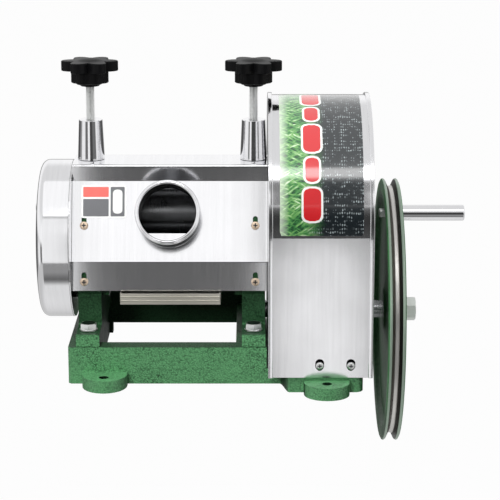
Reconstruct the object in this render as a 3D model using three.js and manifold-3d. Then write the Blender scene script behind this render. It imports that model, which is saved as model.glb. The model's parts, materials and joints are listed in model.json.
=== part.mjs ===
// Manual three-roller sugarcane juicer: cast base and cheeks, sheet covers, gear train, hand wheel.
// Millimetres, +X towards the hand wheel, -Y towards the person feeding cane, +Z up.
// The origin lies on the bench face, in the middle plane of the drive side cheek, under the rollers.
import * as THREE from "three";
import { mergeVertices } from "three/addons/utils/BufferGeometryUtils.js";
import Module from "manifold-3d";

const wasm = await Module();
wasm.setup();

// Clearances
const SEAT_GAP = 0.3; // between faces that touch
const RUNNING_GAP = 0.35; // radial, journal to bush
const SIDE_GAP = 0.5; // roller end to cheek
const EYE_GAP = 0.6; // radial, fixing in its hole
const PASSING_GAP = 3; // round a moving shaft that passes a wall
const CUT_PAST = 4; // how far a cutting tool runs past the face it opens

// Rollers and where their axes lie
const ROLLER_RADIUS = 27;
const ROLLER_NIP = 2;
const LOWER_ROLLER_REACH = 33; // lower axes, in front of and behind the top one
const DRIVE_AXIS_RISE = 16; // drive shaft over the base rails
const JOURNAL_RADIUS = 14;
const GEAR_SEAT_RADIUS = 12;
const TOP_ROLLER_LIFT = 2;

// Cheeks
const CHEEK_SPACING = 184; // middle plane to middle plane
const CHEEK_THICKNESS = 26;
const CHEEK_BODY_REACH = 60;
const FOOT_REACH = 100;
const FOOT_HEIGHT = 14;
const FOOT_BOLT_REACH = 82;
const SHOULDER_DROP = 5; // below the cover's edge, where the cheek widens to meet it
const BLOCK_SIZE = 43.4;
const BLOCK_HEADROOM = 2.5; // above the block at full lift
const BUSH_WALL = 4;
const DRIVE_BUSH_WALL = 2.2;
const TRAY_LEDGE_HEIGHT = 6;
const TRAY_LEDGE_WIDTH = 8;
const TRAY_LEDGE_REACH = 50;
const CUP_BOSS_HEIGHT = 6;
const CUP_BOSS_RADIUS = 8;

// Gears
const ROLLER_GEAR_TEETH = 14;
const DRIVE_MODULE = 4;
const PINION_TEETH = 14;
const DRIVE_GEAR_TEETH = 43;
const ROLLER_GEAR_WIDTH = 24;
const DRIVE_GEAR_WIDTH = 22;
const PINION_WIDTH = 28;
const TOOTH_BACKLASH = 0.7;
const ADDENDUM = 0.92; // of the module
const DEDENDUM = 1.2; // of the module
const PRESSURE_ANGLE = 20;

// Base casting
const BASE_LEFT_MARGIN = 22; // past the left cheek's middle plane
const BASE_RIGHT_RAIL_END = 14.4;
const BASE_HALF_DEPTH = 102;
const BASE_HEIGHT = 42;
const END_RAIL_WIDTH = 21;
const LEFT_RAIL_WIDTH = 32;
const RIGHT_RAIL_WIDTH = 34;
const REAR_RAIL_CLEAR = 18;
const REAR_WALL_RISE = 22; // over the rails, between the cheeks
const REAR_WALL_THICKNESS = 8;
const RAIL_CORNER = 3;
const DECK_END = 120.3;
const DECK_INSET = 2; // from the case's sheet in to the deck's side
const DECK_HEIGHT = 17.1;
const DECK_CORNER = 9;
const DECK_CURVE_START = 29;
const DECK_CURVE_LENGTH = 10;
const LUG_WIDTH = 50;
const LUG_HEIGHT = 14;
const LEFT_LUG_INSET = 19; // inward of the left cheek's middle plane
const REAR_LEFT_LUG_INSET = -4; // it stands behind the left rail
const REAR_LEFT_LUG_WIDTH = 36;
const LEFT_LUG_REACH = 36;
const RIGHT_LUG_X = 80;
const RIGHT_LUG_REACH = 31;
const LUG_STRAIGHT = 8;
const LUG_HOLE_RADIUS = 5.5;
const LUG_HOLE_OUT = 21;
const RIGHT_LUG_HOLE_OUT = 13;
const FOOT_BOLT_DEPTH = 24;

// Roller cover, a folded sheet; RISE and DROP are over and under the top roller's axis
const COVER_LEFT_MARGIN = 19; // past the left cheek's middle plane
const COVER_SHEET = 1.2;
const COVER_TOP_RISE = 63;
const COVER_BAND_TOP_RISE = 44.7;
const COVER_BAND_LOW_DROP = 41.6;
const COVER_EDGE_DROP = 74.7;
const COVER_FRONT_HIGH = 35;
const COVER_FRONT_CLEARANCE = 6; // front roller to the low band
const COVER_REAR_HIGH = 24;
const COVER_REAR_LOW = 58;
const COVER_REAR_EDGE_RISE = 10;
const COVER_SCREW_INSET = 13.5;
const UPPER_SCREW_DROP = 3;
const LOWER_SCREW_DROP = 64;
const COVER_SCREW_RADIUS = 2.5;
const COVER_HEAD_RADIUS = 4.7;
const COVER_HEAD_HEIGHT = 3;
const COVER_SCREW_DEPTH = 12;
const COVER_SLOT_UP = 8;
const COVER_SLOT_DOWN = 1;

// Feed tube
const TUBE_OFFSET = -2.6; // from midway between the cheeks
const TUBE_ROOT_RISE = 6.3; // over the top roller's axis
const TUBE_RADIUS = 34;
const TUBE_WALL = 1.5;
const TUBE_LENGTH = 45;
const TUBE_TAIL = 3;
const TUBE_SILL = 1.2; // plate across the foot of the tube
const TUBE_SILL_DROP = 18.3; // its top edge under the tube's axis
const RIM_RADIUS = 36;
const RIM_WIDTH = 5;

// Posts, lift screws and star knobs
const POST_HEIGHT = 45.5; // over the cover
const POST_BASE_RADIUS = 15.4;
const POST_TOP_RADIUS = 13.2;
const SPIGOT_RADIUS = 9;
const SPIGOT_LENGTH = 26;
const SCREW_RADIUS = 5;
const FOOT_SLOT_NECK = 3; // depth of the neck over the screw foot
const SCREW_FOOT_RADIUS = 8;
const SCREW_FOOT_HEIGHT = 2.2;
const FOOT_SLOT_HEIGHT = 2.8;
const KNOB_HEIGHT_ABOVE_POST = 38.2;
const KNOB_COLLAR_RADIUS = 11;
const KNOB_COLLAR_HEIGHT = 3.2;
const KNOB_HUB_RADIUS = 21.2;
const KNOB_HUB_HEIGHT = 13.8;
const KNOB_STAR_RADIUS = 32;
const KNOB_STAR_HEIGHT = 11.5;
const KNOB_LOBES = 6;
const KNOB_LOBE_RADIUS = 7.6;
const KNOB_VALLEY_RADIUS = 19.5;
const KNOB_DOME_RADIUS = 12;
const KNOB_DOME_HEIGHT = 2.4;
const KNOB_BORE_DEPTH = 20;

// Roller gear cup on the left
const CUP_RADIUS = 90;
const CUP_SHEET = 1.2;
const CUP_DEPTH = 36;
const CUP_FILLET = 9;
const CUP_AXIS_DROP = 29.2; // under the top roller's axis
const CUP_SCREW_RADIUS = 3;
const CUP_SCREW_HEAD = 5.2;
const CUP_SCREW_HEAD_HEIGHT = 3.4;
const CUP_SCREW_GRIP = 10;
const CUP_UPPER_SCREW_REACH = 34;
const CUP_UPPER_SCREW_RISE = 14;
const CUP_LOWER_SCREW_DROP = 92;

// Gear case on the right
const CASE_START = 15.8;
const CASE_WIDTH = 114.5;
const CASE_RADIUS = 135;
const CASE_SHEET = 1;
const CASE_RIM_PROUD = 2.5;
const CASE_RIM_WIDTH = 4.8;
const CASE_LID_SHEET = 1.5;
const FRONT_PLATE_RISE = 2.5; // over the top roller's axis
const CASE_SCREW_X = [72.2, 106.3];
const CASE_SCREW_HEIGHT = 31.7;
const CASE_SCREW_RADIUS = 3;
const CASE_SCREW_HEAD = 4.9;
const CASE_SCREW_HEAD_HEIGHT = 3.6;
const CASE_SCREW_DEPTH = 7;
const CASE_SLOT_HALF = 3;
const CASE_TAB_WIDTH = 18;
const CASE_TAB_THICKNESS = 10;
const CASE_TAB_TOP = 42;

// Drive shaft, hand wheel and handle
const DRIVE_SHAFT_RADIUS = 10;
const PEDESTAL_X = 92;
const PEDESTAL_THICKNESS = 20;
const PEDESTAL_HALF_WIDTH = 24;
const PEDESTAL_CROWN = 22; // radius of the pedestal round its bore
const PEDESTAL_BUSH_WALL = 3;
const GEAR_START = 28;
const WHEEL_START = 149.5;
const WHEEL_SEAT_RADIUS = 9;
const WHEEL_HUB_LENGTH = 25;
const WHEEL_HUB_RADIUS = 24;
const WHEEL_RADIUS = 151;
const WHEEL_RIM_START = 146.5;
const WHEEL_RIM_WIDTH = 19;
const WHEEL_GROOVE_DEPTH = 8.6;
const WHEEL_GROOVE_ROOT = 4.4;
const WHEEL_RIM_DEPTH = 17;
const WHEEL_WEB_START = 153.5;
const WHEEL_WEB = 8;
const NUT_FLATS = 24;
const NUT_HEIGHT = 12.4;
const THREAD_RADIUS = 8;
const CRANK_RADIUS = 114;
const SPINDLE_RADIUS = 5;
const SPINDLE_START = 143.5;
const SPINDLE_COLLAR_RADIUS = 7.5;
const SPINDLE_COLLAR_LENGTH = 1.6;
const SLEEVE_RADIUS = 9;
const SLEEVE_END = 240.6;
const SLEEVE_CHAMFER = 1.4;
const SPINDLE_HEAD_RADIUS = 7;
const SPINDLE_HEAD_LENGTH = 3.6;

// Turner plate, tray and discharge chute
const TURNER_HALF_WIDTH = 9.4;
const TURNER_STEM_HALF = 3.6;
const TURNER_CLEARANCE = 1.6; // under the top roller
const TURNER_EDGE = 3;
const TURNER_DEPTH = 36;
const TRAY_SHEET = 1.2;
const TRAY_FRONT = 74;
const TRAY_REAR = 62;
const TRAY_CLEARANCE = 3.8; // under the lower rollers
const TRAY_FRONT_DEPTH = 12.4;
const TRAY_REAR_DEPTH = 5;
const TRAY_DRAIN_RADIUS = 8;
const TRAY_DRAIN_SETBACK = 14; // from the tray's front
const TRAY_LEFT_CLEARANCE = 20; // to the cheeks
const TRAY_RIGHT_CLEARANCE = 22;
const TRAY_TAPER = 2; // each side, towards the front
const TRAY_EAR_INSET = 4; // ear ends inside the ledge's
const CHUTE_SHEET = 1.5;
const CHUTE_ROLLER_GAP = 1.2;
const CHUTE_EDGE_ANGLE = 20;
const CHUTE_END = 116;
const CHUTE_END_DROP = 72; // under the top roller's axis
const CHUTE_WALL = 16;
const CHUTE_FLANGE = 12;

// Foot bolts
const FOOT_BOLT_RADIUS = 5;
const FOOT_BOLT_FLATS = 17;
const FOOT_BOLT_HEAD = 6.4;
const FOOT_WASHER_RADIUS = 10;
const FOOT_WASHER = 2;

// Facets in a full turn
const FINE = 48;
const ROUND = 24;
const SMALL = 12;

// Sizes that follow from the driving ones
const ROLLER_CENTRES = 2 * ROLLER_RADIUS + ROLLER_NIP;
const ROLLER_GEAR_MODULE = ROLLER_CENTRES / ROLLER_GEAR_TEETH;
const DRIVE_CENTRES = (DRIVE_MODULE * (PINION_TEETH + DRIVE_GEAR_TEETH)) / 2;
const DRIVE_AXIS_HEIGHT = BASE_HEIGHT + DRIVE_AXIS_RISE;
const TOP_AXIS_HEIGHT = DRIVE_AXIS_HEIGHT + DRIVE_CENTRES;
const LOWER_AXIS_HEIGHT = TOP_AXIS_HEIGHT - Math.sqrt(ROLLER_CENTRES ** 2 - LOWER_ROLLER_REACH ** 2);
const DECK_HALF_DEPTH = CASE_RADIUS - DECK_INSET;
const HALF_CHEEK = CHEEK_THICKNESS / 2;
const LEFT_CHEEK_X = -CHEEK_SPACING;
const LEFT_CHEEK_OUTER = LEFT_CHEEK_X - HALF_CHEEK;
const LEFT_CHEEK_INNER = LEFT_CHEEK_X + HALF_CHEEK;
const BASE_LEFT_END = CHEEK_SPACING + BASE_LEFT_MARGIN;
const LEFT_LUG_X = LEFT_CHEEK_X + LEFT_LUG_INSET;
const REAR_LEFT_LUG_X = LEFT_CHEEK_X + REAR_LEFT_LUG_INSET;
const COVER_LEFT_END = CHEEK_SPACING + COVER_LEFT_MARGIN;
const TUBE_X = LEFT_CHEEK_X / 2 + TUBE_OFFSET;
const CHEEK_BOTTOM = BASE_HEIGHT + SEAT_GAP;
const FOOT_TOP = CHEEK_BOTTOM + FOOT_HEIGHT;
const BUSH_OUTER = JOURNAL_RADIUS + RUNNING_GAP + BUSH_WALL;
const DRIVE_BUSH_OUTER = DRIVE_SHAFT_RADIUS + RUNNING_GAP + DRIVE_BUSH_WALL;
const PEDESTAL_BUSH_OUTER = DRIVE_SHAFT_RADIUS + RUNNING_GAP + PEDESTAL_BUSH_WALL;
const BLOCK_TOP = TOP_AXIS_HEIGHT + BLOCK_SIZE / 2;
const WINDOW_BOTTOM = TOP_AXIS_HEIGHT - BLOCK_SIZE / 2 - SEAT_GAP;
const WINDOW_TOP = BLOCK_TOP + TOP_ROLLER_LIFT + BLOCK_HEADROOM;
const CUP_PLATE_FACE = LEFT_CHEEK_OUTER - CUP_BOSS_HEIGHT - SEAT_GAP;
const CUP_RIM = CUP_PLATE_FACE - CUP_SHEET - SEAT_GAP;
const CUP_FACE = CUP_RIM - CUP_DEPTH;
const CASE_END = CASE_START + CASE_WIDTH;
const CASE_BOTTOM = DECK_HEIGHT + SEAT_GAP;
const COVER_RIGHT_END = CASE_START - SEAT_GAP;
const COVER_TOP = TOP_AXIS_HEIGHT + COVER_TOP_RISE;
const COVER_BAND_TOP = TOP_AXIS_HEIGHT + COVER_BAND_TOP_RISE;
const COVER_BAND_LOW = TOP_AXIS_HEIGHT - COVER_BAND_LOW_DROP;
const COVER_EDGE = TOP_AXIS_HEIGHT - COVER_EDGE_DROP;
const COVER_REAR_EDGE = TOP_AXIS_HEIGHT + COVER_REAR_EDGE_RISE;
const COVER_FRONT_LOW = LOWER_ROLLER_REACH + ROLLER_RADIUS + COVER_FRONT_CLEARANCE;
const UPPER_SCREW_HEIGHT = TOP_AXIS_HEIGHT - UPPER_SCREW_DROP;
const LOWER_SCREW_HEIGHT = TOP_AXIS_HEIGHT - LOWER_SCREW_DROP;
const TUBE_ROOT_HEIGHT = TOP_AXIS_HEIGHT + TUBE_ROOT_RISE;
const POST_TOP = COVER_TOP + POST_HEIGHT;
const CUP_AXIS_HEIGHT = TOP_AXIS_HEIGHT - CUP_AXIS_DROP;
const CUP_UPPER_SCREW_HEIGHT = TOP_AXIS_HEIGHT + CUP_UPPER_SCREW_RISE;
const CUP_LOWER_SCREW_HEIGHT = TOP_AXIS_HEIGHT - CUP_LOWER_SCREW_DROP;
const FRONT_PLATE_TOP = TOP_AXIS_HEIGHT + FRONT_PLATE_RISE;
const TRAY_LEFT_END = LEFT_CHEEK_INNER + TRAY_LEFT_CLEARANCE;
const TRAY_RIGHT_END = -HALF_CHEEK - TRAY_RIGHT_CLEARANCE;
const TRAY_TOP = LOWER_AXIS_HEIGHT - ROLLER_RADIUS - TRAY_CLEARANCE;
const TRAY_FRONT_HEIGHT = TRAY_TOP - TRAY_FRONT_DEPTH;
const TRAY_REAR_HEIGHT = TRAY_TOP - TRAY_REAR_DEPTH;
const CHUTE_END_HEIGHT = TOP_AXIS_HEIGHT - CHUTE_END_DROP;
const SLOPE_ANGLE = Math.atan2(COVER_FRONT_LOW - COVER_FRONT_HIGH, COVER_BAND_TOP - COVER_BAND_LOW);

// Finishes
const finish = (color, roughness, metalness) => ({ color, roughness, metalness });
const GREEN_PAINT = finish(0x3f7d4e, 0.5, 0.1);
const MIRROR_STEEL = finish(0xd6d8da, 0.15, 1);
const SATIN_STEEL = finish(0xb9bcbf, 0.35, 1);
const CHROME = finish(0xe2e4e6, 0.08, 1);
const DARK_STEEL = finish(0x6a6d70, 0.4, 1);
const BRONZE = finish(0xa8793f, 0.4, 1);
const BRASS = finish(0xd9a57c, 0.3, 1);
const BLACK_PLASTIC = finish(0x1a1a1b, 0.45, 0);
const ZINC = finish(0xd0d2d2, 0.3, 1);

// A closed geometry as a solid, with its faces out whichever way its profile was drawn.
function solid(geometry) {
  const bare = geometry.clone();
  bare.deleteAttribute("normal");
  bare.deleteAttribute("uv");
  const merged = mergeVertices(bare, 1e-4);
  const position = merged.attributes.position.array;
  const corners = [];
  for (let i = 0; i < merged.index.count; i += 3) {
    const [a, b, c] = [0, 1, 2].map((k) => merged.index.getX(i + k));
    if (a !== b && b !== c && c !== a) corners.push([a, b, c]);
  }
  const at = (k) => new THREE.Vector3().fromArray(position, 3 * k);
  const volume = corners.reduce((sum, [a, b, c]) => sum + at(a).dot(at(b).cross(at(c))), 0);
  const turned = volume < 0 ? corners.map(([a, b, c]) => [a, c, b]) : corners;
  const triVerts = new Uint32Array(turned.flat());
  return new wasm.Manifold(new wasm.Mesh({ numProp: 3, vertProperties: position, triVerts }));
}

// A solid back as a geometry.
function geometryOf(made) {
  const mesh = made.getMesh();
  const position = new Float32Array(mesh.numVert * 3);
  for (let i = 0; i < mesh.numVert; i += 1) {
    position.set(mesh.vertProperties.subarray(i * mesh.numProp, i * mesh.numProp + 3), i * 3);
  }
  const geometry = new THREE.BufferGeometry();
  geometry.setAttribute("position", new THREE.BufferAttribute(position, 3));
  geometry.setIndex(new THREE.BufferAttribute(mesh.triVerts, 1));
  geometry.computeVertexNormals();
  return geometry;
}

function add(group, name, made, look) {
  const mesh = new THREE.Mesh(geometryOf(made), new THREE.MeshStandardMaterial(look));
  mesh.name = name;
  group.add(mesh);
  return mesh;
}

const fuse = (...made) => made.reduce((a, b) => a.add(b));
const cut = (made, ...tools) => tools.reduce((a, b) => a.subtract(b), made);

function box([x0, x1], [y0, y1], [z0, z1]) {
  const geometry = new THREE.BoxGeometry(x1 - x0, y1 - y0, z1 - z0);
  geometry.translate((x0 + x1) / 2, (y0 + y1) / 2, (z0 + z1) / 2);
  return solid(geometry);
}

// A body turned about X from [radius, x] points, about the axis at y, z.
function turnedX(points, facets, y = 0, z = 0) {
  const profile = points.map(([radius, x]) => new THREE.Vector2(radius, x));
  const geometry = new THREE.LatheGeometry(profile, facets);
  geometry.rotateZ(-Math.PI / 2);
  geometry.translate(0, y, z);
  return solid(geometry);
}

// A body turned about Z from [radius, z] points, about the axis at x, y.
function turnedZ(points, facets, x = 0, y = 0) {
  const profile = points.map(([radius, z]) => new THREE.Vector2(radius, z));
  const geometry = new THREE.LatheGeometry(profile, facets);
  geometry.rotateX(Math.PI / 2);
  geometry.translate(x, y, 0);
  return solid(geometry);
}

const rodPoints = (radius, a, b) => [[0, a], [radius, a], [radius, b], [0, b]];
const ringPoints = (outer, inner, a, b) => [[inner, a], [outer, a], [outer, b], [inner, b], [inner, a]];
const rodX = (radius, a, b, facets, y = 0, z = 0) => turnedX(rodPoints(radius, a, b), facets, y, z);
const rodZ = (radius, a, b, facets, x = 0, y = 0) => turnedZ(rodPoints(radius, a, b), facets, x, y);
const ringX = (outer, inner, a, b, facets, y = 0, z = 0) =>
  turnedX(ringPoints(outer, inner, a, b), facets, y, z);

// A plate whose outline is drawn as [y, z] points, from x0 to x1.
function plateX(outline, x0, x1) {
  const shape = new THREE.Shape(outline.map(([y, z]) => new THREE.Vector2(y, z)));
  const geometry = new THREE.ExtrudeGeometry(shape, { depth: x1 - x0, bevelEnabled: false });
  const basis = new THREE.Matrix4().makeBasis(
    new THREE.Vector3(0, 1, 0),
    new THREE.Vector3(0, 0, 1),
    new THREE.Vector3(1, 0, 0),
  );
  geometry.applyMatrix4(basis);
  geometry.translate(x0, 0, 0);
  return solid(geometry);
}

// A plate whose outline is drawn as [x, y] points, from z0 to z1.
function plateZ(outline, z0, z1) {
  const shape = new THREE.Shape(outline.map(([x, y]) => new THREE.Vector2(x, y)));
  const geometry = new THREE.ExtrudeGeometry(shape, { depth: z1 - z0, bevelEnabled: false });
  geometry.translate(0, 0, z0);
  return solid(geometry);
}

// Points of an arc round [a, b], from one angle to another in radians.
function arc(a, b, radius, from, to, steps) {
  return Array.from({ length: steps + 1 }, (_, i) => {
    const angle = from + ((to - from) * i) / steps;
    return [a + radius * Math.cos(angle), b + radius * Math.sin(angle)];
  });
}

// An open line moved sideways by a distance, to the right of the way it runs.
function offsetLine(line, distance) {
  const normals = line.slice(1).map(([a, b], i) => {
    const run = [a - line[i][0], b - line[i][1]];
    const length = Math.hypot(...run);
    return [run[1] / length, -run[0] / length];
  });
  return line.map(([a, b], i) => {
    const before = normals[Math.max(i - 1, 0)];
    const after = normals[Math.min(i, normals.length - 1)];
    const scale = distance / (1 + before[0] * after[0] + before[1] * after[1]);
    return [a + (before[0] + after[0]) * scale, b + (before[1] + after[1]) * scale];
  });
}

const sheetOutline = (line, thickness) => [...line, ...offsetLine(line, thickness).reverse()];
const mirrorY = (points) => points.map(([a, b]) => [a, -b]).reverse();

// Gear outline in the YZ plane round the origin, with a tooth centred on the angle phase.
function gearOutline(teeth, module, phase) {
  const pitchRadius = (module * teeth) / 2;
  const baseRadius = pitchRadius * Math.cos((PRESSURE_ANGLE * Math.PI) / 180);
  const tip = pitchRadius + ADDENDUM * module;
  const root = pitchRadius - DEDENDUM * module;
  const involute = (radius) => {
    const pressure = Math.acos(Math.min(1, baseRadius / radius));
    return Math.tan(pressure) - pressure;
  };
  const halfPitch = Math.PI / (2 * teeth) - TOOTH_BACKLASH / (2 * pitchRadius);
  const halfAt = (radius) => Math.max(0.1 / radius, halfPitch + involute(pitchRadius) - involute(radius));
  const flank = [
    [root, halfAt(baseRadius)],
    [pitchRadius, halfAt(pitchRadius)],
    [tip, halfAt(tip)],
  ];
  const points = [];
  for (let tooth = 0; tooth < teeth; tooth += 1) {
    const middle = phase + (2 * Math.PI * tooth) / teeth;
    flank.forEach(([radius, half]) => points.push([radius, middle - half]));
    [...flank].reverse().forEach(([radius, half]) => points.push([radius, middle + half]));
  }
  return points.map(([radius, angle]) => [radius * Math.cos(angle), radius * Math.sin(angle)]);
}

// A spur gear about X with its bore.
function gear(teeth, module, phase, x0, width, boreRadius) {
  const blank = plateX(gearOutline(teeth, module, phase), x0, x0 + width);
  return cut(blank, rodX(boreRadius, x0 - CUT_PAST, x0 + width + CUT_PAST, ROUND));
}

// Phase of a gear that meshes with a driver: their teeth and gaps meet on the line of centres.
function meshPhase(driverTeeth, driverPhase, direction, teeth) {
  const driverPitch = (2 * Math.PI) / driverTeeth;
  const pitch = (2 * Math.PI) / teeth;
  const share = (direction - driverPhase) / driverPitch;
  return direction + Math.PI - pitch * (0.5 - share);
}

// A pan head screw along -Y, its head's underside at y, its shank running towards +Y.
function panScrew(headRadius, headHeight, radius, length) {
  const cap = 0.72;
  const dome = [
    [0, -length],
    [radius, -length],
    [radius, 0],
    [headRadius, 0],
    [headRadius, headHeight * 0.45],
    [headRadius * cap, headHeight],
    [0, headHeight],
  ];
  const slot = headHeight * 0.5;
  const blade = headRadius * 0.16;
  const reach = headRadius * 0.55;
  const recess = [
    box([-blade, blade], [-reach, reach], [headHeight - slot, headHeight + 1]),
    box([-reach, reach], [-blade, blade], [headHeight - slot, headHeight + 1]),
  ];
  return cut(turnedZ(dome, SMALL), ...recess);
}

// A hexagon prism along Z with both top corners of a nut or head chamfered off.
function hexagon(flats, z0, z1, chamfer) {
  const across = flats / Math.cos(Math.PI / 6) / 2;
  const prism = rodZ(across, z0, z1, 6);
  const cone = turnedZ(
    [
      [0, z0],
      [across + 1, z0],
      [across + 1, z1 - chamfer - 1],
      [flats / 2 - 0.3, z1],
      [0, z1],
    ],
    ROUND,
  );
  return prism.intersect(cone);
}

const juicer = new THREE.Group();
const frame = new THREE.Group();
juicer.add(frame);

// Roller cover outline, from the front edge over the top to the rear edge.
const coverLine = [
  [-COVER_FRONT_LOW, COVER_EDGE],
  [-COVER_FRONT_LOW, COVER_BAND_LOW],
  [-COVER_FRONT_HIGH, COVER_BAND_TOP],
  [-COVER_FRONT_HIGH, COVER_TOP],
  [COVER_REAR_HIGH, COVER_TOP],
  [COVER_REAR_LOW, COVER_REAR_EDGE],
];
const underCover = offsetLine(coverLine, COVER_SHEET + SEAT_GAP);

function slopeFace(height) {
  return -COVER_FRONT_HIGH - (COVER_BAND_TOP - height) * Math.tan(SLOPE_ANGLE);
}

// Puts something drawn along +Z, with its foot at the origin, on the cover's sloped or upright face.
function onFace(made, x, height, sloped) {
  const tilt = sloped ? Math.PI / 2 - SLOPE_ANGLE : Math.PI / 2;
  const face = sloped ? slopeFace(height) : -COVER_FRONT_LOW;
  const turn = new THREE.Matrix4().makeRotationX(tilt);
  turn.setPosition(x, face, height);
  return made.transform(turn.elements);
}

function baseCasting() {
  const left = -BASE_LEFT_END;
  const right = BASE_RIGHT_RAIL_END;
  const d = BASE_HALF_DEPTH;
  const c = RAIL_CORNER;
  const ring = plateZ(
    [[left + c, -d], [right, -d], [right, d], [left + c, d], [left, d - c], [left, -d + c]],
    0,
    BASE_HEIGHT,
  );
  const inside = d - END_RAIL_WIDTH;
  const windowLeft = left + LEFT_RAIL_WIDTH;
  const windowRight = right - RIGHT_RAIL_WIDTH;
  const window = box([windowLeft, windowRight], [-inside, inside], [-CUT_PAST, BASE_HEIGHT + CUT_PAST]);
  const rearRelief = box([windowLeft, windowRight], [0, d + CUT_PAST], [-CUT_PAST, REAR_RAIL_CLEAR]);
  const rearWall = box(
    [LEFT_CHEEK_INNER + SEAT_GAP, -HALF_CHEEK - SEAT_GAP],
    [inside, inside + REAR_WALL_THICKNESS],
    [REAR_RAIL_CLEAR, BASE_HEIGHT + REAR_WALL_RISE],
  );
  const curveEnd = DECK_CURVE_START + DECK_CURVE_LENGTH;
  const curveSteps = 6;
  const curve = Array.from({ length: curveSteps + 1 }, (_, i) => {
    const share = i / curveSteps;
    const swing = (1 - Math.cos(Math.PI * share)) / 2;
    return [DECK_CURVE_START + DECK_CURVE_LENGTH * share, -d - (DECK_HALF_DEPTH - d) * swing];
  });
  const corner = arc(
    DECK_END - DECK_CORNER,
    -DECK_HALF_DEPTH + DECK_CORNER,
    DECK_CORNER,
    -Math.PI / 2,
    0,
    4,
  );
  const half = [[right - CUT_PAST, -d], ...curve, ...corner];
  const deck = plateZ([...half, ...mirrorY(half)], 0, DECK_HEIGHT);
  if (curveEnd > DECK_END - DECK_CORNER) throw new Error("the deck is shorter than its curve");
  const lugs = [];
  const holes = [];
  [-1, 1].forEach((side) => {
    const leftLug = side < 0 ? [LEFT_LUG_X, LUG_WIDTH] : [REAR_LEFT_LUG_X, REAR_LEFT_LUG_WIDTH];
    [
      [...leftLug, d, LEFT_LUG_REACH, LUG_HOLE_OUT],
      [RIGHT_LUG_X, LUG_WIDTH, DECK_HALF_DEPTH, RIGHT_LUG_REACH, RIGHT_LUG_HOLE_OUT],
    ].forEach(([x, width, root, reach, out]) => {
      const w = width / 2;
      const bow = Array.from({ length: 13 }, (_, i) => {
        const angle = (Math.PI * i) / 12;
        const deep = root + LUG_STRAIGHT + (reach - LUG_STRAIGHT) * Math.sin(angle);
        return [x + w * Math.cos(angle), side * deep];
      });
      const rootLine = side * (root - CUT_PAST);
      lugs.push(plateZ([[x + w, rootLine], ...bow, [x - w, rootLine]], 0, LUG_HEIGHT));
      holes.push(rodZ(LUG_HOLE_RADIUS, -CUT_PAST, LUG_HEIGHT + CUT_PAST, ROUND, x, side * (root + out)));
    });
  });
  const pedestalOutline = [
    [-PEDESTAL_HALF_WIDTH, DECK_HEIGHT - 1],
    ...arc(0, DRIVE_AXIS_HEIGHT, PEDESTAL_CROWN, Math.PI, 0, 12),
    [PEDESTAL_HALF_WIDTH, DECK_HEIGHT - 1],
  ];
  const pedestal = plateX(pedestalOutline, PEDESTAL_X, PEDESTAL_X + PEDESTAL_THICKNESS);
  const tabOuter = CASE_RADIUS - CASE_SHEET - SEAT_GAP;
  const tabs = [];
  const tabHoles = [];
  CASE_SCREW_X.forEach((x) => {
    [-1, 1].forEach((side) => {
      const span = [side * (tabOuter - CASE_TAB_THICKNESS), side * tabOuter].sort((a, b) => a - b);
      const width = [x - CASE_TAB_WIDTH / 2, x + CASE_TAB_WIDTH / 2];
      tabs.push(box(width, span, [DECK_HEIGHT - 1, CASE_TAB_TOP]));
      const deep = [side * (tabOuter - CASE_SCREW_DEPTH - 1), side * (tabOuter + 1)].sort((a, b) => a - b);
      const drill = rodZ(CASE_SCREW_RADIUS + SEAT_GAP, deep[0], deep[1], SMALL);
      tabHoles.push(drill.rotate([-90, 0, 0]).translate([x, 0, CASE_SCREW_HEIGHT]));
    });
  });
  const footHoles = [LEFT_CHEEK_X, 0].flatMap((x) =>
    [-1, 1].map((side) =>
      rodZ(
        FOOT_BOLT_RADIUS + SEAT_GAP,
        BASE_HEIGHT - FOOT_BOLT_DEPTH - 1,
        BASE_HEIGHT + CUT_PAST,
        SMALL,
        x,
        side * FOOT_BOLT_REACH,
      ),
    ),
  );
  const bushSeat = rodX(
    PEDESTAL_BUSH_OUTER + SEAT_GAP,
    PEDESTAL_X - CUT_PAST,
    PEDESTAL_X + PEDESTAL_THICKNESS + CUT_PAST,
    ROUND,
    0,
    DRIVE_AXIS_HEIGHT,
  );
  return cut(
    fuse(cut(ring, window, rearRelief), rearWall, deck, ...lugs, pedestal, ...tabs),
    ...holes,
    ...tabHoles,
    ...footHoles,
    bushSeat,
  );
}

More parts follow.
